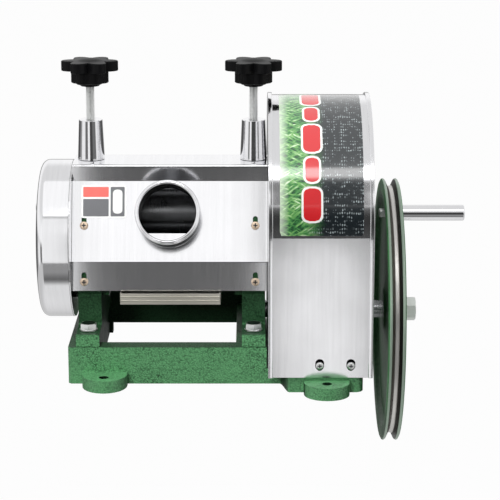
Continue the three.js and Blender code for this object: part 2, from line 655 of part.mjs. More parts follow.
function cheek(x, isLeft) {
  const [x0, x1] = [x - HALF_CHEEK, x + HALF_CHEEK];
  const front = underCover[0];
  const outline = [
    [-FOOT_REACH, CHEEK_BOTTOM],
    [FOOT_REACH, CHEEK_BOTTOM],
    [FOOT_REACH, FOOT_TOP],
    [CHEEK_BODY_REACH, FOOT_TOP],
    [CHEEK_BODY_REACH, COVER_REAR_EDGE - SHOULDER_DROP],
    ...[...underCover].reverse(),
    [-CHEEK_BODY_REACH, front[1] - SHOULDER_DROP],
    [-CHEEK_BODY_REACH, FOOT_TOP],
    [-FOOT_REACH, FOOT_TOP],
  ];
  const parts = [plateX(outline, x0, x1)];
  const innerFace = isLeft ? x1 : x0;
  const ledgeEnd = isLeft ? innerFace + TRAY_LEDGE_WIDTH : innerFace - TRAY_LEDGE_WIDTH;
  const ledgeTop = TRAY_TOP - TRAY_SHEET - SEAT_GAP;
  const ledgeSpan = isLeft ? [innerFace - 1, ledgeEnd] : [ledgeEnd, innerFace + 1];
  const ledgeHeights = [ledgeTop - TRAY_LEDGE_HEIGHT, ledgeTop];
  parts.push(box(ledgeSpan, [-TRAY_LEDGE_REACH, TRAY_LEDGE_REACH], ledgeHeights));
  const tools = [];
  const through = [x0 - CUT_PAST - TRAY_LEDGE_WIDTH, x1 + CUT_PAST + TRAY_LEDGE_WIDTH];
  const windowHalf = BLOCK_SIZE / 2 + SEAT_GAP;
  tools.push(box(through, [-windowHalf, windowHalf], [WINDOW_BOTTOM, WINDOW_TOP]));
  [-1, 1].forEach((side) => {
    const y = side * LOWER_ROLLER_REACH;
    tools.push(rodX(BUSH_OUTER + SEAT_GAP, ...through, ROUND, y, LOWER_AXIS_HEIGHT));
    const boltY = side * FOOT_BOLT_REACH;
    tools.push(rodZ(FOOT_BOLT_RADIUS + EYE_GAP, 0, FOOT_TOP + CUT_PAST, SMALL, x, boltY));
  });
  tools.push(rodZ(SPIGOT_RADIUS + SEAT_GAP, WINDOW_TOP - 1, COVER_TOP, ROUND, x, 0));
  const screwX = isLeft ? -COVER_LEFT_END + COVER_SCREW_INSET : COVER_RIGHT_END - COVER_SCREW_INSET;
  const drill = rodZ(COVER_SCREW_RADIUS + SEAT_GAP, -COVER_SCREW_DEPTH - 1, 1, SMALL);
  tools.push(onFace(drill, screwX, UPPER_SCREW_HEIGHT, true));
  tools.push(onFace(drill, screwX, LOWER_SCREW_HEIGHT, false));
  if (isLeft) {
    cupScrewPlaces().forEach(([y, z]) => {
      parts.push(rodX(CUP_BOSS_RADIUS, x0 - CUP_BOSS_HEIGHT, x0 + 1, SMALL, y, z));
      const grip = x0 - CUP_BOSS_HEIGHT + CUP_SCREW_GRIP + 1;
      tools.push(rodX(CUP_SCREW_RADIUS + SEAT_GAP, x0 - CUP_BOSS_HEIGHT - CUT_PAST, grip, SMALL, y, z));
    });
  } else {
    tools.push(rodX(DRIVE_BUSH_OUTER + SEAT_GAP, ...through, ROUND, 0, DRIVE_AXIS_HEIGHT));
  }
  return cut(fuse(...parts), ...tools);
}

function cupScrewPlaces() {
  return [
    [-CUP_UPPER_SCREW_REACH, CUP_UPPER_SCREW_HEIGHT],
    [CUP_UPPER_SCREW_REACH, CUP_UPPER_SCREW_HEIGHT],
    [0, CUP_LOWER_SCREW_HEIGHT],
  ];
}

function rollerCover() {
  const sheet = plateX(sheetOutline(coverLine, COVER_SHEET), -COVER_LEFT_END, COVER_RIGHT_END);
  const tubeHole = rodZ(TUBE_RADIUS + SEAT_GAP, -TUBE_TAIL * 2, CUT_PAST, FINE);
  const tools = [onFace(tubeHole, TUBE_X, TUBE_ROOT_HEIGHT, true)];
  [LEFT_CHEEK_X, 0].forEach((x) => {
    tools.push(rodZ(SPIGOT_RADIUS + EYE_GAP, COVER_TOP - 5, COVER_TOP + 5, ROUND, x, 0));
  });
  const slotHalf = COVER_SCREW_RADIUS + SEAT_GAP;
  const slot = fuse(
    box([-slotHalf, slotHalf], [-COVER_SLOT_DOWN, COVER_SLOT_UP], [-3, 3]),
    rodZ(slotHalf, -3, 3, SMALL, 0, COVER_SLOT_UP),
    rodZ(slotHalf, -3, 3, SMALL, 0, -COVER_SLOT_DOWN),
  );
  coverScrewPlaces().forEach(([x, height, sloped]) => tools.push(onFace(slot, x, height, sloped)));
  return cut(sheet, ...tools);
}

function coverScrewPlaces() {
  return [-COVER_LEFT_END + COVER_SCREW_INSET, COVER_RIGHT_END - COVER_SCREW_INSET].flatMap((x) => [
    [x, UPPER_SCREW_HEIGHT, true],
    [x, LOWER_SCREW_HEIGHT, false],
  ]);
}

// Feed tube with its rolled rim, drawn along its own axis and set square on the sloped face.
function feedTube() {
  const inner = TUBE_RADIUS - TUBE_WALL;
  const lip = TUBE_LENGTH;
  const profile = [
    [inner, -TUBE_TAIL],
    [TUBE_RADIUS, -TUBE_TAIL],
    [TUBE_RADIUS, lip - RIM_WIDTH],
    [RIM_RADIUS - 0.6, lip - RIM_WIDTH + 0.8],
    [RIM_RADIUS, lip - RIM_WIDTH / 2],
    [RIM_RADIUS - 0.6, lip - 0.8],
    [TUBE_RADIUS - 0.6, lip],
    [inner + 0.4, lip - 0.8],
    [inner, lip - 2.2],
    [inner, -TUBE_TAIL],
  ];
  const sillDisc = rodZ(TUBE_RADIUS - TUBE_WALL / 2, -TUBE_TAIL, TUBE_SILL - TUBE_TAIL, FINE * 0.75);
  const overSill = box([-TUBE_RADIUS, TUBE_RADIUS], [-TUBE_SILL_DROP, TUBE_RADIUS], [-TUBE_TAIL - 1, 0]);
  const tube = fuse(turnedZ(profile, FINE * 0.75), cut(sillDisc, overSill));
  return onFace(tube, TUBE_X, TUBE_ROOT_HEIGHT, true);
}

function juiceTray() {
  const front = -TRAY_FRONT;
  const rear = TRAY_REAR;
  const t = TRAY_SHEET;
  const plan = (inset) => [
    [TRAY_LEFT_END + TRAY_TAPER + inset, front + inset],
    [TRAY_RIGHT_END - TRAY_TAPER - inset, front + inset],
    [TRAY_RIGHT_END - inset, rear - inset],
    [TRAY_LEFT_END + inset, rear - inset],
  ];
  const outer = plateZ(plan(0), TRAY_FRONT_HEIGHT - CUT_PAST, TRAY_TOP);
  const slope = (TRAY_REAR_HEIGHT - TRAY_FRONT_HEIGHT) / (rear - front);
  const heightAt = (y, lift) => TRAY_FRONT_HEIGHT + (y - front) * slope + lift;
  const span = [TRAY_LEFT_END - CUT_PAST, TRAY_RIGHT_END + CUT_PAST];
  const wedge = (lift) =>
    plateX(
      [
        [front - CUT_PAST, heightAt(front - CUT_PAST, lift)],
        [rear + CUT_PAST, heightAt(rear + CUT_PAST, lift)],
        [rear + CUT_PAST, 0],
        [front - CUT_PAST, 0],
      ],
      ...span,
    );
  const above = TRAY_TOP + CUT_PAST;
  const hollow = cut(plateZ(plan(t), TRAY_FRONT_HEIGHT - CUT_PAST, above), wedge(t));
  const middle = (TRAY_LEFT_END + TRAY_RIGHT_END) / 2;
  const drainFront = front + TRAY_DRAIN_SETBACK;
  const drainSpan = [TRAY_FRONT_HEIGHT - CUT_PAST, TRAY_TOP];
  const drain = rodZ(TRAY_DRAIN_RADIUS, ...drainSpan, ROUND, middle, drainFront);
  const ears = [
    [LEFT_CHEEK_INNER + SEAT_GAP, TRAY_LEFT_END + TRAY_TAPER + t],
    [TRAY_RIGHT_END - TRAY_TAPER - t, -HALF_CHEEK - SEAT_GAP],
  ].map((ends) => {
    const earReach = TRAY_LEDGE_REACH - TRAY_EAR_INSET;
    return box(ends, [-earReach, earReach], [TRAY_TOP - t, TRAY_TOP]);
  });
  return cut(fuse(cut(outer, wedge(0)), ...ears), hollow, drain);
}

function dischargeChute() {
  const angle = (CHUTE_EDGE_ANGLE * Math.PI) / 180;
  const edgeRadius = ROLLER_RADIUS + CHUTE_ROLLER_GAP;
  const edge = [
    LOWER_ROLLER_REACH + edgeRadius * Math.cos(angle),
    LOWER_AXIS_HEIGHT + edgeRadius * Math.sin(angle),
  ];
  const reach = CHEEK_BODY_REACH + SEAT_GAP;
  const end = [CHUTE_END, CHUTE_END_HEIGHT];
  const x0 = LEFT_CHEEK_INNER + SEAT_GAP;
  const x1 = -HALF_CHEEK - SEAT_GAP;
  const floor = plateX(sheetOutline([edge, end], CHUTE_SHEET), x0, x1);
  const slope = (end[1] - edge[1]) / (end[0] - edge[0]);
  const at = (y) => edge[1] + (y - edge[0]) * slope;
  const wallFoot = 1;
  const wall = [
    [reach, at(reach) - wallFoot],
    [end[0], end[1] - wallFoot],
    [end[0], end[1] + CHUTE_WALL * 0.6],
    [reach, at(reach) + CHUTE_WALL],
  ];
  const sides = [
    plateX(wall, x0, x0 + CHUTE_SHEET),
    plateX(wall, x1 - CHUTE_SHEET, x1),
  ];
  const flangeFoot = at(reach) - wallFoot;
  const flanges = [
    box([x0 - CHUTE_FLANGE, x0 + 1], [reach, reach + CHUTE_SHEET], [flangeFoot, at(reach) + CHUTE_WALL]),
    box([x1 - 1, x1 + CHUTE_FLANGE], [reach, reach + CHUTE_SHEET], [flangeFoot, at(reach) + CHUTE_WALL]),
  ];
  return fuse(floor, ...sides, ...flanges);
}

function turnerPlate() {
  const crownRadius = ROLLER_RADIUS + TURNER_CLEARANCE;
  const spread = Math.asin(TURNER_HALF_WIDTH / crownRadius);
  const crown = arc(0, TOP_AXIS_HEIGHT, crownRadius, -Math.PI / 2 - spread, -Math.PI / 2 + spread, 6);
  const low = crown[3][1] - TURNER_EDGE;
  const outline = [
    ...crown,
    [TURNER_STEM_HALF, low],
    [TURNER_STEM_HALF, crown[3][1] - TURNER_DEPTH],
    [-TURNER_STEM_HALF, crown[3][1] - TURNER_DEPTH],
    [-TURNER_STEM_HALF, low],
  ];
  return plateX(outline, LEFT_CHEEK_INNER + SEAT_GAP, -HALF_CHEEK - SEAT_GAP);
}

// Case outline: upright sides from the deck, and a half round top about the top roller's axis.
function caseLine(radius, frontStart, rearEnd, steps) {
  const lift = Math.max(0, frontStart - TOP_AXIS_HEIGHT);
  const startAngle = Math.PI - Math.asin(lift / radius);
  const front = frontStart < TOP_AXIS_HEIGHT ? [[-radius, frontStart]] : [];
  return [...front, ...arc(0, TOP_AXIS_HEIGHT, radius, startAngle, 0, steps), [radius, rearEnd]];
}

function caseWrap() {
  const line = caseLine(CASE_RADIUS, FRONT_PLATE_TOP + SEAT_GAP, CASE_BOTTOM, 36);
  const inside = CASE_LID_SHEET + SEAT_GAP;
  const sheet = plateX(sheetOutline(line, CASE_SHEET), CASE_START + inside, CASE_END - inside);
  return cut(sheet, ...caseSlots(1));
}

function caseSlots(side) {
  return CASE_SCREW_X.map((x) => {
    const half = CASE_SCREW_RADIUS + SEAT_GAP;
    const y = side * CASE_RADIUS;
    const drill = rodZ(half, -CUT_PAST, CUT_PAST, SMALL).rotate([90, 0, 0]);
    const [low, high] = [CASE_SCREW_HEIGHT - CASE_SLOT_HALF, CASE_SCREW_HEIGHT + CASE_SLOT_HALF];
    return fuse(
      box([x - half, x + half], [y - CUT_PAST, y + CUT_PAST], [low, high]),
      drill.translate([x, y, low]),
      drill.translate([x, y, high]),
    );
  });
}

function caseFrontPlate() {
  const inside = CASE_LID_SHEET + SEAT_GAP;
  const line = [
    [-CASE_RADIUS, CASE_BOTTOM],
    [-CASE_RADIUS, FRONT_PLATE_TOP],
  ];
  const sheet = plateX(sheetOutline(line, CASE_SHEET), CASE_START + inside, CASE_END - inside);
  return cut(sheet, ...caseSlots(-1));
}

function caseLid(isInner) {
  const outer = caseLine(CASE_RADIUS + CASE_RIM_PROUD, CASE_BOTTOM, CASE_BOTTOM, 36);
  const pocket = caseLine(CASE_RADIUS + SEAT_GAP, CASE_BOTTOM - CUT_PAST, CASE_BOTTOM - CUT_PAST, 36);
  const wallX = isInner ? CASE_START : CASE_END - CASE_RIM_WIDTH;
  const body = plateX(outer, wallX, wallX + CASE_RIM_WIDTH);
  const pocketStart = isInner ? wallX + CASE_LID_SHEET : wallX - CUT_PAST;
  const pocketEnd = isInner ? wallX + CASE_RIM_WIDTH + CUT_PAST : wallX + CASE_RIM_WIDTH - CASE_LID_SHEET;
  const tools = [plateX(pocket, pocketStart, pocketEnd)];
  const through = [wallX - CUT_PAST, wallX + CASE_RIM_WIDTH + CUT_PAST];
  const shaftHole = DRIVE_SHAFT_RADIUS + PASSING_GAP;
  tools.push(rodX(shaftHole, ...through, ROUND, 0, DRIVE_AXIS_HEIGHT));
  if (isInner) {
    const journalHole = JOURNAL_RADIUS + PASSING_GAP + TOP_ROLLER_LIFT / 2;
    tools.push(rodX(journalHole, ...through, ROUND, 0, TOP_AXIS_HEIGHT + TOP_ROLLER_LIFT / 2));
  }
  return cut(body, ...tools);
}

function gearCup() {
  const f = CUP_FILLET;
  const r = CUP_RADIUS;
  const t = CUP_SHEET;
  const bend = (radius, inset) =>
    arc(r - f, CUP_FACE + f, radius, 0, -Math.PI / 2, 4).map(([a, b]) => [a, b + inset]);
  const profile = [
    [r, CUP_RIM],
    ...bend(f, 0),
    [0, CUP_FACE],
    [0, CUP_FACE + t],
    ...bend(f - t, 0).reverse(),
    [r - t, CUP_RIM],
    [r, CUP_RIM],
  ];
  const cup = turnedX(profile, FINE * 0.75, 0, CUP_AXIS_HEIGHT);
  const holes = cupScrewPlaces().map(([y, z]) =>
    rodX(CUP_SCREW_RADIUS + EYE_GAP, CUP_FACE - CUT_PAST, CUP_FACE + CUT_PAST, SMALL, y, z),
  );
  return cut(cup, ...holes);
}

function cupBackPlate() {
  const x1 = CUP_PLATE_FACE;
  const x0 = x1 - CUP_SHEET;
  const through = [x0 - CUT_PAST, x1 + CUT_PAST];
  const topHole = JOURNAL_RADIUS + PASSING_GAP + TOP_ROLLER_LIFT / 2;
  return cut(
    rodX(CUP_RADIUS, x0, x1, FINE * 0.75, 0, CUP_AXIS_HEIGHT),
    rodX(topHole, ...through, ROUND, 0, TOP_AXIS_HEIGHT + TOP_ROLLER_LIFT / 2),
    ...[-1, 1].map((side) =>
      rodX(JOURNAL_RADIUS + 1, ...through, ROUND, side * LOWER_ROLLER_REACH, LOWER_AXIS_HEIGHT),
    ),
    ...cupScrewPlaces().map(([y, z]) => rodX(CUP_SCREW_RADIUS + EYE_GAP, ...through, SMALL, y, z)),
  );
}

function cupScrew(y, z) {
  const under = CUP_FACE - SEAT_GAP;
  const tip = LEFT_CHEEK_OUTER - CUP_BOSS_HEIGHT + CUP_SCREW_GRIP;
  const h = CUP_SCREW_HEAD_HEIGHT;
  const profile = [
    [0, under - h],
    [CUP_SCREW_HEAD * 0.7, under - h],
    [CUP_SCREW_HEAD, under - h * 0.45],
    [CUP_SCREW_HEAD, under],
    [CUP_SCREW_RADIUS, under],
    [CUP_SCREW_RADIUS, tip],
    [0, tip],
  ];
  return turnedX(profile, SMALL, y, z);
}

function post(x) {
  const seat = COVER_TOP + SEAT_GAP;
  const bore = SCREW_RADIUS + RUNNING_GAP;
  const lip = 0.8;
  const profile = [
    [bore, seat - SPIGOT_LENGTH],
    [SPIGOT_RADIUS, seat - SPIGOT_LENGTH],
    [SPIGOT_RADIUS, seat],
    [POST_BASE_RADIUS, seat],
    [POST_BASE_RADIUS, seat + lip],
    [POST_TOP_RADIUS, POST_TOP - lip],
    [POST_TOP_RADIUS - lip, POST_TOP],
    [bore, POST_TOP],
    [bore, seat - SPIGOT_LENGTH],
  ];
  return turnedZ(profile, ROUND, x, 0);
}

function footBolt(x, y) {
  const seat = FOOT_TOP + SEAT_GAP;
  const washer = rodZ(FOOT_WASHER_RADIUS, seat, seat + FOOT_WASHER, ROUND);
  const head = hexagon(FOOT_BOLT_FLATS, seat + FOOT_WASHER - 0.5, seat + FOOT_WASHER + FOOT_BOLT_HEAD, 1.2);
  const shank = rodZ(FOOT_BOLT_RADIUS, BASE_HEIGHT - FOOT_BOLT_DEPTH, seat + 1, SMALL);
  return fuse(washer, head, shank).translate([x, y, 0]);
}

add(frame, "base_casting", baseCasting(), GREEN_PAINT);
add(frame, "left_cheek", cheek(LEFT_CHEEK_X, true), GREEN_PAINT);
add(frame, "right_cheek", cheek(0, false), GREEN_PAINT);
add(frame, "roller_cover", rollerCover(), MIRROR_STEEL);
add(frame, "feed_tube", feedTube(), MIRROR_STEEL);
add(frame, "juice_tray", juiceTray(), SATIN_STEEL);
add(frame, "discharge_chute", dischargeChute(), SATIN_STEEL);
add(frame, "turner_plate", turnerPlate(), DARK_STEEL);
add(frame, "case_wrap", caseWrap(), MIRROR_STEEL);
add(frame, "case_front_plate", caseFrontPlate(), SATIN_STEEL);
add(frame, "case_inner_lid", caseLid(true), MIRROR_STEEL);
add(frame, "case_outer_lid", caseLid(false), MIRROR_STEEL);
add(frame, "gear_cup", gearCup(), MIRROR_STEEL);
add(frame, "cup_back_plate", cupBackPlate(), SATIN_STEEL);
add(frame, "post_left", post(LEFT_CHEEK_X), CHROME);
add(frame, "post_right", post(0), CHROME);

coverScrewPlaces().forEach(([x, height, sloped], i) => {
  const screw = panScrew(COVER_HEAD_RADIUS, COVER_HEAD_HEIGHT, COVER_SCREW_RADIUS, COVER_SCREW_DEPTH);
  add(frame, `cover_screw_${i + 1}`, onFace(screw.translate([0, 0, SEAT_GAP]), x, height, sloped), BRASS);
});

[LEFT_CHEEK_X, 0].forEach((x, i) => {
  [-1, 1].forEach((side, j) => {
    add(frame, `foot_bolt_${2 * i + j + 1}`, footBolt(x, side * FOOT_BOLT_REACH), ZINC);
  });
});

cupScrewPlaces().forEach(([y, z], i) => add(frame, `cup_screw_${i + 1}`, cupScrew(y, z), ZINC));

CASE_SCREW_X.forEach((x, i) => {
  [-1, 1].forEach((side, j) => {
    const depth = CASE_SHEET + CASE_SCREW_DEPTH;
    const screw = panScrew(CASE_SCREW_HEAD, CASE_SCREW_HEAD_HEIGHT, CASE_SCREW_RADIUS, depth);
    const place = [x, side * (CASE_RADIUS + SEAT_GAP), CASE_SCREW_HEIGHT];
    const set = screw.rotate([-90 * side, 0, 0]).translate(place);
    add(frame, `case_screw_${2 * i + j + 1}`, set, ZINC);
  });
});

[LEFT_CHEEK_X, 0].forEach((x, i) => {
  [-1, 1].forEach((side) => {
    const name = `${["left", "right"][i]}_${side < 0 ? "front" : "rear"}_bush`;
    const y = side * LOWER_ROLLER_REACH;
    const inner = JOURNAL_RADIUS + RUNNING_GAP;
    const bush = ringX(BUSH_OUTER, inner, x - HALF_CHEEK, x + HALF_CHEEK, ROUND, y, LOWER_AXIS_HEIGHT);
    add(frame, name, bush, BRONZE);
  });
});

const shaftBore = DRIVE_SHAFT_RADIUS + RUNNING_GAP;
const innerBush = ringX(DRIVE_BUSH_OUTER, shaftBore, -HALF_CHEEK, HALF_CHEEK, ROUND, 0, DRIVE_AXIS_HEIGHT);
const pedestalEnd = PEDESTAL_X + PEDESTAL_THICKNESS;
const outerBushSpan = [PEDESTAL_X, pedestalEnd];
const outerBush = ringX(PEDESTAL_BUSH_OUTER, shaftBore, ...outerBushSpan, ROUND, 0, DRIVE_AXIS_HEIGHT);
add(frame, "drive_bush_inner", innerBush, BRONZE);
add(frame, "drive_bush_outer", outerBush, BRONZE);

// Carriage: the two bearing blocks of the top roller
const carriage = new THREE.Group();
carriage.position.z = TOP_AXIS_HEIGHT;
juicer.add(carriage);

function bearingBlock(x) {
  const half = BLOCK_SIZE / 2;
  const span = [x - HALF_CHEEK, x + HALF_CHEEK];
  const through = [span[0] - CUT_PAST, span[1] + CUT_PAST];
  const neck = SCREW_RADIUS + EYE_GAP;
  const foot = SCREW_FOOT_RADIUS + EYE_GAP;
  const neckBottom = half - FOOT_SLOT_NECK;
  return cut(
    box(span, [-half, half], [-half, half]),
    rodX(JOURNAL_RADIUS + RUNNING_GAP, ...through, ROUND),
    box(through, [-neck, neck], [neckBottom - 1, half + CUT_PAST]),
    box(through, [-foot, foot], [neckBottom - FOOT_SLOT_HEIGHT, neckBottom]),
  );
}

add(carriage, "bearing_block_left", bearingBlock(LEFT_CHEEK_X), DARK_STEEL);
add(carriage, "bearing_block_right", bearingBlock(0), DARK_STEEL);

// Star knobs on their lift screws, drawn about their own axis with z from the bench
function starOutline() {
  const points = [];
  const reach = KNOB_STAR_RADIUS - KNOB_LOBE_RADIUS;
  for (let lobe = 0; lobe < KNOB_LOBES; lobe += 1) {
    const middle = (2 * Math.PI * lobe) / KNOB_LOBES;
    const [cx, cy] = [reach * Math.cos(middle), reach * Math.sin(middle)];
    points.push(...arc(cx, cy, KNOB_LOBE_RADIUS, middle - Math.PI / 2, middle + Math.PI / 2, 6));
    const valley = middle + Math.PI / KNOB_LOBES;
    points.push([KNOB_VALLEY_RADIUS * Math.cos(valley), KNOB_VALLEY_RADIUS * Math.sin(valley)]);
  }
  return points;
}

function starKnob() {
  const foot = POST_TOP + KNOB_HEIGHT_ABOVE_POST;
  const hub = foot + KNOB_COLLAR_HEIGHT;
  const star = hub + KNOB_HUB_HEIGHT;
  const top = star + KNOB_STAR_HEIGHT;
  const body = turnedZ(
    [
      [0, foot],
      [KNOB_COLLAR_RADIUS, foot],
      [KNOB_COLLAR_RADIUS, hub],
      [KNOB_HUB_RADIUS - 0.8, hub],
      [KNOB_HUB_RADIUS, hub + 0.8],
      [KNOB_HUB_RADIUS, star + 1],
      [KNOB_DOME_RADIUS, top],
      [KNOB_DOME_RADIUS * 0.7, top + KNOB_DOME_HEIGHT * 0.7],
      [KNOB_DOME_RADIUS * 0.35, top + KNOB_DOME_HEIGHT],
      [0, top + KNOB_DOME_HEIGHT],
    ],
    ROUND,
  );
  const bore = rodZ(SCREW_RADIUS + SEAT_GAP, foot - CUT_PAST, foot + KNOB_BORE_DEPTH, SMALL);
  return cut(fuse(body, plateZ(starOutline(), star, top)), bore);
}

function liftScrew() {
  const footTop = BLOCK_TOP - FOOT_SLOT_NECK - SEAT_GAP;
  const tip = POST_TOP + KNOB_HEIGHT_ABOVE_POST + KNOB_BORE_DEPTH - SEAT_GAP;
  const profile = [
    [0, footTop - SCREW_FOOT_HEIGHT],
    [SCREW_FOOT_RADIUS, footTop - SCREW_FOOT_HEIGHT],
    [SCREW_FOOT_RADIUS, footTop],
    [SCREW_RADIUS, footTop],
    [SCREW_RADIUS, tip],
    [0, tip],
  ];
  return turnedZ(profile, SMALL);
}

[LEFT_CHEEK_X, 0].forEach((x, i) => {
  const side = ["left", "right"][i];
  const knob = new THREE.Group();
  knob.position.x = x;
  juicer.add(knob);
  add(knob, `knob_${side}`, starKnob(), BLACK_PLASTIC);
  add(knob, `lift_screw_${side}`, liftScrew(), ZINC);
});

// Rollers: barrel, two journals and the seats of their gears
const gearStart = CUP_RIM - ROLLER_GEAR_WIDTH - PASSING_GAP;
const shaftStart = gearStart - PASSING_GAP;
const barrelStart = LEFT_CHEEK_INNER + SIDE_GAP;
const barrelEnd = -HALF_CHEEK - SIDE_GAP;
const shoulder = CUP_RIM - 1;

function roller(rightEnd) {
  const chamfer = 1.5;
  const profile = [
    [0, shaftStart],
    [GEAR_SEAT_RADIUS, shaftStart],
    [GEAR_SEAT_RADIUS, shoulder],
    [JOURNAL_RADIUS, shoulder],
    [JOURNAL_RADIUS, barrelStart],
    [ROLLER_RADIUS - chamfer, barrelStart],
    [ROLLER_RADIUS, barrelStart + chamfer],
    [ROLLER_RADIUS, barrelEnd - chamfer],
    [ROLLER_RADIUS - chamfer, barrelEnd],
    [JOURNAL_RADIUS, barrelEnd],
    ...rightEnd,
  ];
  return turnedX(profile, ROUND);
}

const gearBore = GEAR_SEAT_RADIUS + SEAT_GAP;
const drop = TOP_AXIS_HEIGHT - LOWER_AXIS_HEIGHT;
const toFront = Math.atan2(-drop, -LOWER_ROLLER_REACH);
const toRear = Math.atan2(-drop, LOWER_ROLLER_REACH);
const topGroup = new THREE.Group();
topGroup.position.z = TOP_AXIS_HEIGHT;
juicer.add(topGroup);
const driveGearStart = GEAR_START + (PINION_WIDTH - DRIVE_GEAR_WIDTH) / 2;
const topEnd = driveGearStart + DRIVE_GEAR_WIDTH + 2;
const topShoulder = driveGearStart - 1;
const topTail = [
  [JOURNAL_RADIUS, topShoulder],
  [GEAR_SEAT_RADIUS, topShoulder],
  [GEAR_SEAT_RADIUS, topEnd],
  [0, topEnd],
];
add(topGroup, "top_roller", roller(topTail), SATIN_STEEL);
const pinionPhase = Math.PI / 2;
const drivePhase = meshPhase(PINION_TEETH, pinionPhase, Math.PI / 2, DRIVE_GEAR_TEETH);
const driveSpan = [driveGearStart, DRIVE_GEAR_WIDTH];
const driveGear = gear(DRIVE_GEAR_TEETH, DRIVE_MODULE, drivePhase, ...driveSpan, gearBore);
add(topGroup, "drive_gear", driveGear, DARK_STEEL);
const rollerGear = (phase) =>
  gear(ROLLER_GEAR_TEETH, ROLLER_GEAR_MODULE, phase, gearStart, ROLLER_GEAR_WIDTH, gearBore);
add(topGroup, "top_roller_gear", rollerGear(toFront), DARK_STEEL);

const lowerTail = [
  [JOURNAL_RADIUS, HALF_CHEEK - 1],
  [0, HALF_CHEEK - 1],
];
[
  ["front", -1, toFront],
  ["rear", 1, toRear],
].forEach(([name, side, direction]) => {
  const lower = new THREE.Group();
  lower.position.set(0, side * LOWER_ROLLER_REACH, LOWER_AXIS_HEIGHT);
  juicer.add(lower);
  const phase = meshPhase(ROLLER_GEAR_TEETH, toFront, direction, ROLLER_GEAR_TEETH);
  add(lower, `${name}_roller`, roller(lowerTail), SATIN_STEEL);
  add(lower, `${name}_roller_gear`, rollerGear(phase), DARK_STEEL);
});

// Drive shaft, pinion and hand wheel
const drive = new THREE.Group();
drive.position.z = DRIVE_AXIS_HEIGHT;
juicer.add(drive);
const hubEnd = WHEEL_START + WHEEL_HUB_LENGTH;
const nutStart = hubEnd + SEAT_GAP;
const nutEnd = nutStart + NUT_HEIGHT;

function driveShaft() {
  const seatStart = WHEEL_START - SEAT_GAP;
  const threadStart = hubEnd - 1;
  const profile = [
    [0, -HALF_CHEEK + 1],
    [DRIVE_SHAFT_RADIUS, -HALF_CHEEK + 1],
    [DRIVE_SHAFT_RADIUS, seatStart],
    [WHEEL_SEAT_RADIUS, seatStart],
    [WHEEL_SEAT_RADIUS, threadStart],
    [THREAD_RADIUS, threadStart],
    [THREAD_RADIUS, nutEnd - 1.5],
    [THREAD_RADIUS - 1, nutEnd - 0.5],
    [0, nutEnd - 0.5],
  ];
  return turnedX(profile, ROUND);
}

function handWheel() {
  const rimEnd = WHEEL_RIM_START + WHEEL_RIM_WIDTH;
  const rimFoot = WHEEL_RADIUS - WHEEL_RIM_DEPTH;
  const root = WHEEL_RADIUS - WHEEL_GROOVE_DEPTH;
  const middle = (WHEEL_RIM_START + rimEnd) / 2;
  const halfRoot = WHEEL_GROOVE_ROOT / 2;
  const webEnd = WHEEL_WEB_START + WHEEL_WEB;
  const crest = [
    [-3.5, 0],
    [-0.7, 1.1],
    [0, 2.3],
    [-0.7, 3.7],
    [-3, 5],
  ];
  const profile = [
    [WHEEL_SEAT_RADIUS + SEAT_GAP, WHEEL_START],
    [WHEEL_HUB_RADIUS, WHEEL_START],
    [WHEEL_HUB_RADIUS * 2.4, WHEEL_WEB_START],
    [rimFoot - 4, WHEEL_WEB_START],
    [rimFoot + 2, WHEEL_RIM_START],
    ...crest.map(([down, along]) => [WHEEL_RADIUS + down, WHEEL_RIM_START + along]),
    [root, middle - halfRoot],
    [root, middle + halfRoot],
    ...[...crest].reverse().map(([down, along]) => [WHEEL_RADIUS + down, rimEnd - along]),
    [rimFoot + 2, rimEnd],
    [rimFoot - 4, webEnd],
    [WHEEL_HUB_RADIUS + 8, webEnd],
    [WHEEL_HUB_RADIUS, hubEnd],
    [WHEEL_SEAT_RADIUS + SEAT_GAP, hubEnd],
    [WHEEL_SEAT_RADIUS + SEAT_GAP, WHEEL_START],
  ];
  const spindleHole = rodX(
    SPINDLE_RADIUS + SEAT_GAP,
    WHEEL_RIM_START - CUT_PAST,
    rimEnd + CUT_PAST,
    SMALL,
    0,
    CRANK_RADIUS,
  );
  return cut(turnedX(profile, FINE), spindleHole);
}

function wheelNut() {
  const outside = hexagon(NUT_FLATS, 0, NUT_HEIGHT, 1.4).rotate([0, 90, 0]).translate([nutStart, 0, 0]);
  return cut(outside, rodX(THREAD_RADIUS + SEAT_GAP, nutStart - CUT_PAST, nutEnd + CUT_PAST, ROUND));
}

add(drive, "drive_shaft", driveShaft(), CHROME);
const pinionBore = DRIVE_SHAFT_RADIUS + SEAT_GAP;
const pinion = gear(PINION_TEETH, DRIVE_MODULE, pinionPhase, GEAR_START, PINION_WIDTH, pinionBore);
add(drive, "drive_pinion", pinion, DARK_STEEL);
add(drive, "hand_wheel", handWheel(), GREEN_PAINT);
add(drive, "wheel_nut", wheelNut(), ZINC);

